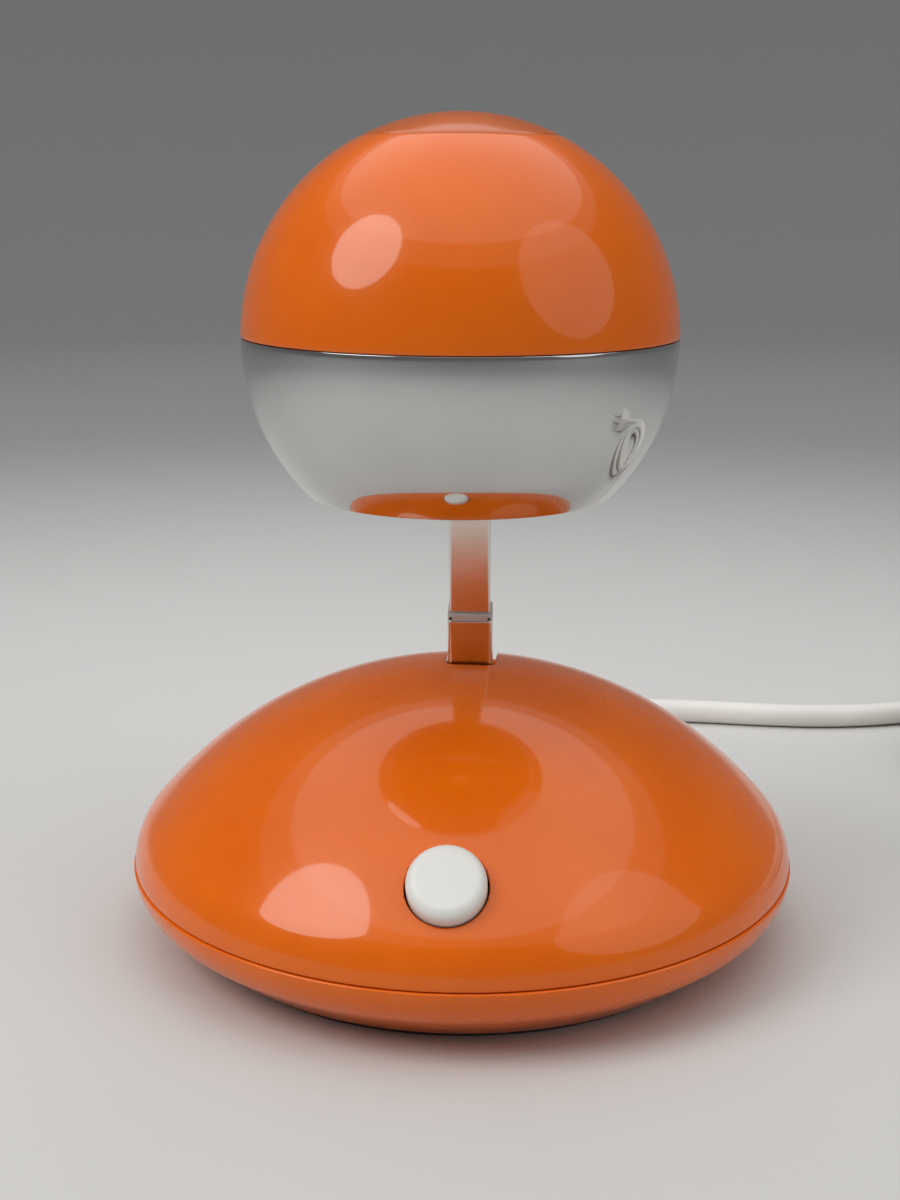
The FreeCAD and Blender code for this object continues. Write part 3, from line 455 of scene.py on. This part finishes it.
def bowlOutline(b):
    rimCentre = (b["radius"] + b["overhang"] - b["lowerRim"], b["seam"])
    slope = math.tan(math.radians(b["flank"]))
    edgeCentre = (rimCentre[0] + b["lowerRim"] - b["edge"], b["seam"] - b["edge"])
    outer = arc(edgeCentre, b["edge"], 90, b["edgeTurn"], b["edgeSteps"])
    outer += arc(rimCentre, b["lowerRim"], -b["edgeTurn"], -b["flank"], b["lowerSteps"])
    footRadius = outer[-1][0] - (outer[-1][1] - b["pad"]) * slope
    footOut, footIn = b["foot"]
    outer.append((footRadius + footOut, b["pad"] + footOut / slope))
    outer += [(footRadius - footIn, b["pad"]), (0.0, b["pad"])]
    floor = b["pad"] + b["wall"]
    inner = arc(rimCentre, b["lowerRim"] - b["wall"], -b["flank"], -b["hollowStart"], b["hollowSteps"])
    innerFoot = inner[0][0] - (inner[0][1] - floor) * slope
    lipIn, lipOut = b["lip"]
    lip = [(lipIn, b["lipTop"]), (lipOut, b["lipTop"]), (lipOut, b["seam"])]
    inner = [(0.0, floor), (innerFoot, floor)] + inner + [(lipIn, b["seam"] - b["lipFoot"])]
    return lip + outer + inner + [lip[0]]


def buttonPlace(b):
    return Matrix.Translation(b["buttonSpot"]) @ turnAbout("X", 90 - b["buttonAngle"])


def findRim(shape, centre, radius):
    # edges between the outer skin and a cut through it
    onSkin = {v for v in shape.verts if abs((v.co - centre).length - radius) < cutRim["reach"]}
    skinEdges = [e for e in shape.edges if len(e.link_faces) == 2 and set(e.verts) <= onSkin]
    return [e for e in skinEdges if e.calc_face_angle() > cutRim["turn"]]


def softenCuts(piece, centre, radius, width):
    # small round where the slot and the button hole meet the outer skin
    shape = bmesh.new()
    shape.from_mesh(piece.data)
    rimVerts = {v for e in findRim(shape, centre, radius) for v in e.verts}
    rimVerts = sorted(rimVerts, key=lambda v: v.co[:])
    bmesh.ops.remove_doubles(shape, verts=rimVerts, dist=cutRim["merge"])
    rim = findRim(shape, centre, radius)
    roundEdges(shape, rim, width)
    bmesh.ops.dissolve_degenerate(shape, dist=cutRim["sliver"], edges=shape.edges)
    shape.to_mesh(piece.data)
    shape.free()
    markSharp(piece.data, meshing["sharp"])
    print("softened edges of the cuts:", len(rim))


def makeDome(b):
    dome = asObject("domeShell", spinOutline(domeOutline(b), b["segments"]), "orangePaint")
    slotLength = b["slotRear"] - b["slotFront"]
    slotMiddle = (b["slotSide"], (b["slotFront"] + b["slotRear"]) / 2, 0.0)
    slotShape = roundedBar(b["slotWidth"], slotLength, *b["slotReach"], b["slotCorner"], b["slotSteps"])
    bmesh.ops.translate(slotShape, vec=slotMiddle, verts=slotShape.verts)
    holeShape = bmesh.new()
    addRod(holeShape, b["wellRadius"], b["wellDepth"], b["wellSegments"], buttonPlace(b))
    cutAway(dome, [asObject("slotCutter", slotShape, "orangePaint"),
                   asObject("holeCutter", holeShape, "orangePaint")])
    crown = crownRadius(b)
    softenCuts(dome, Vector((0.0, 0.0, b["top"] - crown)), crown, b["cutRound"])
    mountPiece(dome, "base", "orange_paint", "base_top_shell")


def makeBowl(b):
    bowl = asObject("bowlShell", spinOutline(bowlOutline(b), b["segments"]), "orangePaint")
    mountPiece(bowl, "base", "orange_paint", "base_bottom_shell")


makeDome(baseShape)
makeBowl(baseShape)
print("base shells made")


# push button
buttonShape = {
    "radius": 0.0069, "height": 0.0031, "depth": 0.0036, "segments": 96,
    "crown": 0.0003, "crownShares": (0.85, 0.7, 0.5, 0.25),
    "edge": 0.002, "edgeDrop": 0.3, "edgeEnd": 87, "edgeSteps": 14,
}


def makeButton(b, base):
    crown = (b["radius"] ** 2 + b["crown"] ** 2) / (2 * b["crown"])
    edgeCentre = (b["radius"] - b["edge"], b["height"] - b["crown"] * b["edgeDrop"] - b["edge"])
    outline = [(0.0, -b["depth"]), (b["radius"], -b["depth"])]
    outline += arc(edgeCentre, b["edge"], 0, b["edgeEnd"], b["edgeSteps"])
    reach = outline[-1][0]
    for share in b["crownShares"]:
        outline.append((reach * share, b["height"] - crown + math.sqrt(crown ** 2 - (reach * share) ** 2)))
    outline.append((0.0, b["height"]))
    shape = moveShape(spinOutline(outline, b["segments"]), buttonPlace(base))
    mountPiece(asObject("pushButton", shape, "whitePlastic"), "button", "white_plastic", "button_cap")


makeButton(buttonShape, baseShape)
print("button made")


# head
headShape = {
    "centre": (0.0, -0.0178407, 0.1174149), "radius": 0.0386, "wall": 0.0012, "segments": 200,
    "split": 0.0006, "gap": 0.00015, "mouth": 0.0273, "edge": 0.00018, "topSteps": 60, "bottomSteps": 48,
    "skirt": 0.001, "skirtGap": 0.00005, "skirtSpan": (6.0, 5.0), "skirtEdge": 0.0001, "skirtSteps": 12,
    "cap": 0.0173, "capGap": 0.0002, "capTurn": 0.4, "capEdge": 0.0003,
    "capRim": (0.0012, 0.003), "capSteps": 24,
}
rimShares = (0.5, 0.8, 1.0)  # how far round a rim's edge its points lie


def shellOutline(radius, wall, start, end, edge, steps):
    # a slice of a hollow ball between two latitudes, with small rounds on both rims
    inner = radius - wall
    turn = math.degrees(edge / radius)
    outline = arc((0.0, 0.0), radius, start + turn, end - turn, steps)
    for angle, way in ((end, -1), (start, 1)):
        rim = []
        for share in rimShares:
            a = math.radians(angle + way * turn * (1 - share))
            r = radius - edge * (1 - math.sqrt(1 - share * share))
            rim.append((r * math.cos(a), r * math.sin(a)))
        if way < 0:
            outline += rim + arc((0.0, 0.0), inner, end, start, steps // 2)
        else:
            outline += rim[::-1]
    return outline


def capOutline(h):
    rimRadius = h["cap"] - h["capGap"]
    rimAngle = math.degrees(math.acos(rimRadius / h["radius"]))
    outline = arc((0.0, 0.0), h["radius"], rimAngle + h["capTurn"], 90, h["capSteps"])
    outline[-1] = (0.0, h["radius"])
    inner = arc((0.0, 0.0), h["radius"] - h["wall"], 90, rimAngle, h["capSteps"] // 2)
    inner[0] = (0.0, h["radius"] - h["wall"])
    rimWall, rimDepth = h["capRim"]
    rimLow = inner[-1][1] - rimDepth
    rim = [(rimRadius - rimWall, rimLow), (rimRadius, rimLow), (rimRadius, outline[0][1] - h["capEdge"])]
    return outline + inner[:-1] + rim + [outline[0]]


def latitude(height, radius):
    return math.degrees(math.asin(height / radius))


def mountOnHead(h, name, shape, skin, slotName, *nodes):
    moveShape(shape, Matrix.Translation(h["centre"]))
    mountPiece(asObject(name, shape, skin), "head", slotName, *nodes)


def makeHead(h):
    radius, wall, around = h["radius"], h["wall"], h["segments"]
    splitLow = latitude(h["split"], radius)
    splitHigh = latitude(h["split"] + h["gap"], radius)
    mouth = -math.degrees(math.acos(h["mouth"] / radius))
    capAngle = math.degrees(math.acos(h["cap"] / radius))
    below, above = h["skirtSpan"]

    upper = shellOutline(radius, wall, splitHigh, capAngle, h["edge"], h["topSteps"])
    lower = shellOutline(radius, wall, mouth, splitLow, h["edge"] / 2, h["bottomSteps"])
    skirt = shellOutline(radius - wall - h["skirtGap"], h["skirt"], splitHigh - below, splitHigh + above,
                         h["skirtEdge"], h["skirtSteps"])

    ballTop = spinOutline(upper, around, closed=True)
    mountOnHead(h, "ballTop", ballTop, "orangePaint", "orange_paint", "head_top_shell")
    ballBottom = spinOutline(lower, around, closed=True)
    mountOnHead(h, "ballBottom", ballBottom, "chromeSkin", "chrome", "head_bottom_shell")
    ballSkirt = spinOutline(skirt, around, closed=True)
    mountOnHead(h, "ballSkirt", ballSkirt, "orangePaint", "orange_paint")
    ballCap = spinOutline(capOutline(h), around)
    mountOnHead(h, "ballCap", ballCap, "capPaintedShade", "cap_paint", "head_top_cap")


makeHead(headShape)
print("head made")


# telescopic arm, drawn upright and then leaned
armShape = {
    "pivot": (0.0013, 0.0163, 0.013), "lean": armLean, "softEdge": 0.0003, "innerSoft": 0.6, "cornerSteps": 6,
    "outer": (0.0088, 0.0062), "outerCorner": 0.0009, "outerBore": (0.0081, 0.0055),
    "outerBoreCorner": 0.00055, "outerFoot": -0.0056, "mouth": 0.0506, "pivotHole": 0.0023,
    "band": (0.0087, 0.0061), "bandHeight": 0.00145, "bandWay": (0.00804, 0.0047), "bandCorner": 0.00085,
    "dot": 0.0003, "dotInset": 0.0006, "dotHeight": 0.35, "dotDepth": 0.0001, "dotSegments": 20,
    "inner": (0.00794, 0.0046), "innerCorner": 0.0006, "innerSteps": 5, "innerBore": (0.00694, 0.0036),
    "innerBoreCorner": 0.0001, "innerFoot": 0.02605, "innerTop": 0.08905,
    "rivetHole": 0.0008, "rivetHeight": 0.08455,
}
armCut = {"overrun": 0.001, "cornerSteps": 6, "holeLength": 0.02, "holeSegments": 48}


def softenRim(shape, height, width):
    rim = [e for e in shape.edges if all(abs(v.co.z - height) < meshing["level"] for v in e.verts)]
    roundEdges(shape, rim, width)


def boreCutter(name, size, low, high, corner, lean):
    over = armCut["overrun"]
    shape = roundedBar(*size, low - over, high + over, corner, armCut["cornerSteps"])
    return asObject(name, moveShape(shape, lean), "nickelTube")


def holeCutter(name, radius, place, axis):
    shape = bmesh.new()
    addRod(shape, radius, armCut["holeLength"], armCut["holeSegments"], place @ turnAbout(axis, 90))
    return asObject(name, shape, "nickelTube")


# painted shade: two small black dots stand for two dimples in the band, whose shade is drawn as black
def bandDots(a):
    shape = bmesh.new()
    height = a["mouth"] + a["dotHeight"] * a["bandHeight"]
    for side in (-1, 1):
        place = Vector((side * (a["band"][0] / 2 - a["dotInset"]), -a["band"][1] / 2, height))
        stand = Matrix.Translation(place) @ turnAbout("X", 90)
        addRod(shape, a["dot"], a["dotDepth"], a["dotSegments"], stand)
    return shape


def makeArm(a):
    lean = Matrix.Translation(a["pivot"]) @ turnAbout("X", a["lean"])
    bandTop = a["mouth"] + a["bandHeight"]
    outer = roundedBar(*a["outer"], a["outerFoot"], a["mouth"], a["outerCorner"], a["cornerSteps"])
    softenRim(outer, a["mouth"], a["softEdge"])
    band = roundedBar(*a["band"], a["mouth"], bandTop, a["bandCorner"], a["cornerSteps"])
    softenRim(band, bandTop, a["softEdge"])
    dots = bandDots(a)
    inner = roundedBar(*a["inner"], a["innerFoot"], a["innerTop"], a["innerCorner"], a["innerSteps"])
    softenRim(inner, a["innerTop"], a["softEdge"] * a["innerSoft"])
    for shape in (outer, band, dots, inner):
        bmesh.ops.recalc_face_normals(shape, faces=shape.faces)
        moveShape(shape, lean)

    outerTube = asObject("outerTube", outer, "nickelTube")
    outerBore = boreCutter("outerBore", a["outerBore"], a["outerFoot"], a["mouth"],
                           a["outerBoreCorner"], lean)
    cutAway(outerTube, [outerBore, holeCutter("pivotHole", a["pivotHole"], lean, "Y")])
    mountPiece(evenShade(outerTube), "arm_outer", "nickel", "outer_tube")

    mouthBand = asObject("mouthBand", band, "bushPlastic")
    cutAway(mouthBand, [boreCutter("bandWay", a["bandWay"], a["mouth"], bandTop, a["innerCorner"], lean)])
    mountPiece(evenShade(mouthBand), "arm_outer", "bush_plastic", "guide_bush")
    mountPiece(asObject("bandDots", dots, "blackPlasticAndDimpleShade"), "arm_outer", "black_plastic")

    innerTube = asObject("innerTube", inner, "nickelTube")
    innerBore = boreCutter("innerBore", a["innerBore"], a["innerFoot"], a["innerTop"],
                           a["innerBoreCorner"], lean)
    rivetPlace = lean @ Matrix.Translation((0.0, 0.0, a["rivetHeight"]))
    cutAway(innerTube, [innerBore, holeCutter("rivetHole", a["rivetHole"], rivetPlace, "X")])
    mountPiece(evenShade(innerTube), "arm_inner", "nickel", "inner_tube")


makeArm(armShape)
print("arm made")


# what sits on the cord: ribbed strain relief, tie, plug
glandShape = {
    "face": 0.0653, "height": 0.0077, "seat": 0.002, "seatInset": 0.0015, "edge": 0.0003,
    "flange": 0.0058, "flangeDepth": 0.002, "flangeRound": 0.0005, "flangeSteps": 5,
    "root": 0.005, "tip": 0.0039, "end": 0.0805, "ribEnd": 0.0004, "ribs": 6, "groove": 0.0006,
    "segments": 64,
}
tieShape = {
    "spot": (0.1248, 0.08675, 0.0079), "inside": (0.0200, 0.0134), "thick": 0.0008, "wide": 0.004,
    "corner": 0.0033, "cornerSteps": 10, "soft": 0.0002, "softSteps": 2,
}
plugShape = {
    "end": (0.20925, 0.04675, 0.0113), "neck": 0.013, "neckTip": 0.0037, "neckRoot": 0.0054,
    "neckEdge": 0.0003, "neckStart": 0.0004, "neckSunk": (0.002, 0.003), "neckRibs": 5, "neckGroove": 0.0006,
    "segments": 64,
    "body": (0.034, 0.025, 0.0226), "taper": 0.84, "edge": 0.0034, "edgeSteps": 6,
    "recess": 0.0006, "recessRim": 0.0012, "recessFlank": 0.0002,
    "grips": 5, "gripRise": 0.0005, "gripSize": (0.0014, 0.011), "gripEdge": 0.00035, "gripAt": (0.28, 0.13),
    "pin": 0.0024, "pinLength": 0.019, "pinSpacing": 0.019, "pinRound": 0.0012, "pinSteps": 6,
    "pinSegments": 40,
}
# one rib: share of its length, share of the groove's depth
ribProfile = ((0.0, 1.0), (0.12, 1.0), (0.2, 0.3), (0.32, 0.0), (0.78, 0.0), (0.9, 0.3))


def ribbedTaper(start, end, root, tip, ribs, groove):
    # outline of a taper with round ribs, radius and height
    outline = []
    pitch = (end - start) / ribs
    for i in range(ribs):
        for share, drop in ribProfile:
            z = start + pitch * (i + share)
            radius = root + (tip - root) * (z - start) / (end - start)
            outline.append((radius - drop * groove, z))
    return outline


def makeGland(g):
    edge, bend = g["edge"], g["flangeRound"]
    flangeTop = g["face"] + g["flangeDepth"]
    outline = [(0.0, g["face"] - g["seat"]), (g["flange"] - g["seatInset"], g["face"] - g["seat"])]
    outline += [(g["flange"] - edge, g["face"]), (g["flange"], g["face"] + edge)]
    outline += arc((g["flange"] - bend, flangeTop - bend), bend, 0, 90, g["flangeSteps"])
    outline += ribbedTaper(flangeTop, g["end"] - g["ribEnd"], g["root"], g["tip"], g["ribs"], g["groove"])
    outline += [(g["tip"], g["end"] - edge), (g["tip"] - edge, g["end"]), (0.0, g["end"])]
    place = Matrix.Translation((0.0, 0.0, g["height"])) @ turnAbout("X", -90)
    shape = moveShape(spinOutline(outline, g["segments"]), place)
    gland = asObject("cordGland", shape, "whitePlastic", meshing["ribbedSharp"])
    return mountPiece(gland, "base", "white_plastic", "cord_gland")


def makeTie(t):
    shape = roundedBar(*t["inside"], -t["wide"] / 2, t["wide"] / 2, t["corner"], t["cornerSteps"])
    caps = [f for f in shape.faces if abs(f.normal.z) > 0.9]
    bmesh.ops.delete(shape, geom=caps, context="FACES_ONLY")
    bmesh.ops.recalc_face_normals(shape, faces=shape.faces)
    moveShape(shape, Matrix.Translation(t["spot"]) @ turnAbout("X", 90))
    tie = asObject("cordTie", shape, "bushPlastic")
    thicken = tie.modifiers.new("thicken", "SOLIDIFY")
    thicken.thickness = t["thick"]
    thicken.offset = 1.0
    soften = tie.modifiers.new("soften", "BEVEL")
    soften.width = t["soft"]
    soften.segments = t["softSteps"]
    soften.limit_method = "ANGLE"
    return mountPiece(tie, "base", "bush_plastic", "cord_tie")


def plugBody(g):
    wide, long, high = g["body"]
    end = Vector(g["end"])
    body = bmesh.new()
    bmesh.ops.create_cube(body, size=1.0)
    bmesh.ops.scale(body, vec=(wide, long, high), verts=body.verts)
    for v in body.verts:
        if v.co.y > 0:
            v.co.x *= g["taper"]
            v.co.z *= g["taper"]
    roundEdges(body, body.edges[:], g["edge"], g["edgeSteps"])
    front = min(body.faces, key=lambda f: f.calc_center_median().y)
    bmesh.ops.inset_region(body, faces=[front], thickness=g["recessRim"], depth=0.0)
    bmesh.ops.inset_region(body, faces=[front], thickness=g["recessFlank"], depth=-g["recess"])
    bmesh.ops.translate(body, vec=(end.x, end.y - g["neck"] - long / 2, end.z), verts=body.verts)
    return body


def makePlugShell(g):
    edge, tip, root = g["neckEdge"], g["neckTip"], g["neckRoot"]
    ribsEnd, neckEnd = [g["neck"] + sunk for sunk in g["neckSunk"]]
    outline = [(0.0, 0.0), (tip - edge, 0.0), (tip, edge)]
    outline += ribbedTaper(g["neckStart"], ribsEnd, tip, root, g["neckRibs"], g["neckGroove"])
    outline += [(root, neckEnd), (0.0, neckEnd)]
    neck = moveShape(spinOutline(outline, g["segments"]), Matrix.Translation(g["end"]) @ turnAbout("X", 90))
    joinInto(neck, plugBody(g))
    shell = evenShade(asObject("plugShell", neck, "whitePlastic", meshing["ribbedSharp"]))
    return mountPiece(shell, "base", "white_plastic", "plug_body")


def makePlugGrips(g):
    wide, long = g["body"][:2]
    end = Vector(g["end"])
    first, spacing = g["gripAt"]
    grips = bmesh.new()
    for side in (-1, 1):
        for i in range(g["grips"]):
            along = first + spacing * i
            reach = wide / 2 * (g["taper"] + (1 - g["taper"]) * along)
            place = (end.x + side * reach, end.y - g["neck"] - long * along, end.z)
            bar = bmesh.ops.create_cube(grips, size=1.0)["verts"]
            bmesh.ops.scale(grips, vec=(2 * g["gripRise"], *g["gripSize"]), verts=bar)
            bmesh.ops.translate(grips, vec=place, verts=bar)
    roundEdges(grips, grips.edges[:], g["gripEdge"])
    return mountPiece(evenShade(asObject("plugGrips", grips, "whitePlastic")), "base", "white_plastic")


def makePlugPins(g):
    pins = bmesh.new()
    bend = g["pinRound"]
    outline = [(0.0, 0.0), (g["pin"], 0.0)]
    outline += arc((g["pin"] - bend, g["pinLength"] - bend), bend, 0, 90, g["pinSteps"])
    outline.append((0.0, g["pinLength"]))
    for side in (-1, 1):
        root = Vector(g["end"]) + Vector((side * g["pinSpacing"] / 2, -g["neck"] - g["body"][1], 0.0))
        pin = spinOutline(outline, g["pinSegments"])
        joinInto(pins, moveShape(pin, Matrix.Translation(root) @ turnAbout("X", 90)))
    return mountPiece(asObject("plugPins", pins, "brightSteel"), "base", "nickel", "plug_pins")


cordGland = makeGland(glandShape)
cordTie = makeTie(tieShape)
plugShell = makePlugShell(plugShape)
plugGrips = makePlugGrips(plugShape)
plugPins = makePlugPins(plugShape)
print("cord fittings made")


# solids that keep their own shape, smoothed on a merged copy
smoothing = {"sharp": 32.0, "merge": 2e-6, "flat": 0.5}
smoothed = {
    "base": {"felt_pad": "feltCloth", "pivot_bolt": "brightSteel", "pivot_washers": "bushPlastic",
             "pivot_nut": "brightSteel", "arm_bracket": "brightSteel"},
    "arm_outer": {"pivot_sleeve": "brightSteel"},
    "arm_inner": {"arm_knuckle": "brightSteel", "knuckle_rivet": "brightSteel"},
    "head": {"cross_rod": "nickelTube", "rod_bosses": "nickelTube", "rod_nuts": "nickelTube",
             "rod_collars": "nickelTube", "rod_washers": "bushPlastic", "bridge_plate": "brightSteel",
             "lamp_holder": "whiteCeramic", "bulb_cap": "brassSkin", "bulb_glass": "bulbGlass",
             "bulb_filament": "warmFilament"},
}
slotOf = {entry["node"]: entry["material_slot"] for entry in frame["record"]["subparts"]}


def smoothCopy(node, skin, body, s):
    shape = bmesh.new()
    shape.from_mesh(frame["nodes"][node].data)
    bmesh.ops.remove_doubles(shape, verts=shape.verts, dist=s["merge"])
    bmesh.ops.dissolve_limit(shape, angle_limit=math.radians(s["flat"]), verts=shape.verts, edges=shape.edges)
    mountPiece(evenShade(asObject(node + "Skin", shape, skin, s["sharp"])), body, slotOf[node], node)


for bodyName, nodeSkins in smoothed.items():
    for nodeName, skinName in nodeSkins.items():
        smoothCopy(nodeName, skinName, bodyName, smoothing)
print("smoothed solids:", sum(len(nodeSkins) for nodeSkins in smoothed.values()))

# hidden pieces keep their solids and get a finish
hiddenPieces = {
    "brightSteel": ["shell_screws", "bracket_screws", "transformer_clamp", "transformer_screws",
                    "ballast_screws", "terminal_screws", "switch_tags", "holder_nut"],
    "darkIron": ["ballast_weights", "transformer_core"],
    "copperWire": ["transformer_winding"],
    "blackPlasticAndDimpleShade": ["switch_body"],
    "whiteCeramic": ["terminal_block"],
    "whitePlastic": ["button_stem"],
    "bushPlastic": ["slide_shoe"],
}
for skinName, nodeNames in hiddenPieces.items():
    for nodeName in nodeNames:
        node = frame["nodes"][nodeName]
        node.data.materials.clear()
        node.data.materials.append(skins[skinName])
print("inner pieces finished")


# floor, light and surroundings
studio = {
    "floor": {"colour": (0.64, 0.63, 0.61), "shade": (0.60, 0.59, 0.57), "rough": (0.75, 0.85),
              "toneScale": 3.0, "bump": 0.02, "grainScale": 300.0},
    "far": (0.30, 0.30, 0.295), "fade": (0.15, 0.72), "world": (0.46, 0.47, 0.48),
    "reach": 2.2, "bend": 0.9, "bendStart": -85, "bendSteps": 20, "height": 1.9, "segments": 120,
    "aim": (0.0, 0.0, 0.06),
}
lamps = {
    "keyLamp": {"place": (-0.75, -0.45, 0.85), "size": 0.70, "power": 6.0},
    "fillLamp": {"place": (1.10, -0.50, 0.75), "size": 1.30, "power": 4.0},
    "topLamp": {"place": (0.00, 0.10, 1.40), "size": 2.40, "power": 12.0},
}


def fadeAway(material, colour, near, far):
    # the floor goes grey with the distance, which gives the bright metal something to show
    tree = material.node_tree
    shader = tree.nodes["Principled BSDF"]
    coords = tree.nodes.new("ShaderNodeTexCoord")
    away = tree.nodes.new("ShaderNodeVectorMath")
    away.operation = "LENGTH"
    share = tree.nodes.new("ShaderNodeMapRange")
    share.interpolation_type = "SMOOTHSTEP"
    share.inputs["From Min"].default_value = near
    share.inputs["From Max"].default_value = far
    mix = tree.nodes.new("ShaderNodeMix")
    mix.data_type = "RGBA"
    mix.inputs["B"].default_value = (*colour, 1.0)
    tree.links.new(coords.outputs["Object"], away.inputs[0])
    tree.links.new(away.outputs["Value"], share.inputs["Value"])
    tree.links.new(share.outputs["Result"], mix.inputs["Factor"])
    tree.links.new(shader.inputs["Base Color"].links[0].from_socket, mix.inputs["A"])
    tree.links.new(mix.outputs["Result"], shader.inputs["Base Color"])


def makeFloor(s):
    # a pale round sweep: table top, bend and wall, the same from every side
    flat = s["reach"] - s["bend"]
    outline = [(0.0, 0.0), (flat, 0.0)]
    outline += arc((flat, s["bend"]), s["bend"], s["bendStart"], 0, s["bendSteps"])
    outline.append((s["reach"], s["height"]))
    shape = spinOutline(outline, s["segments"])
    bmesh.ops.reverse_faces(shape, faces=shape.faces)
    skins["paleSweep"] = makeFinish("paleSweep", s["floor"])
    fadeAway(skins["paleSweep"], s["far"], *s["fade"])
    asObject("paleSweep", shape, "paleSweep")


def makeWorld(s):
    world = bpy.data.worlds.new("studio")
    scene.world = world
    world.use_nodes = True
    surround = world.node_tree.nodes["Background"]
    surround.inputs["Color"].default_value = (*s["world"], 1.0)
    surround.inputs["Strength"].default_value = 1.0


def makeLamps(settings, aim):
    for name, look in settings.items():
        light = bpy.data.lights.new(name, "AREA")
        light.energy = look["power"]
        light.shape = "DISK"
        light.size = look["size"]
        lamp = bpy.data.objects.new(name, light)
        lamp.location = look["place"]
        lamp.rotation_mode = "QUATERNION"
        lamp.rotation_quaternion = (Vector(aim) - Vector(look["place"])).to_track_quat("-Z", "Y")
        scene.collection.objects.link(lamp)


makeFloor(studio)
makeWorld(studio)
makeLamps(lamps, studio["aim"])
print("studio ready")
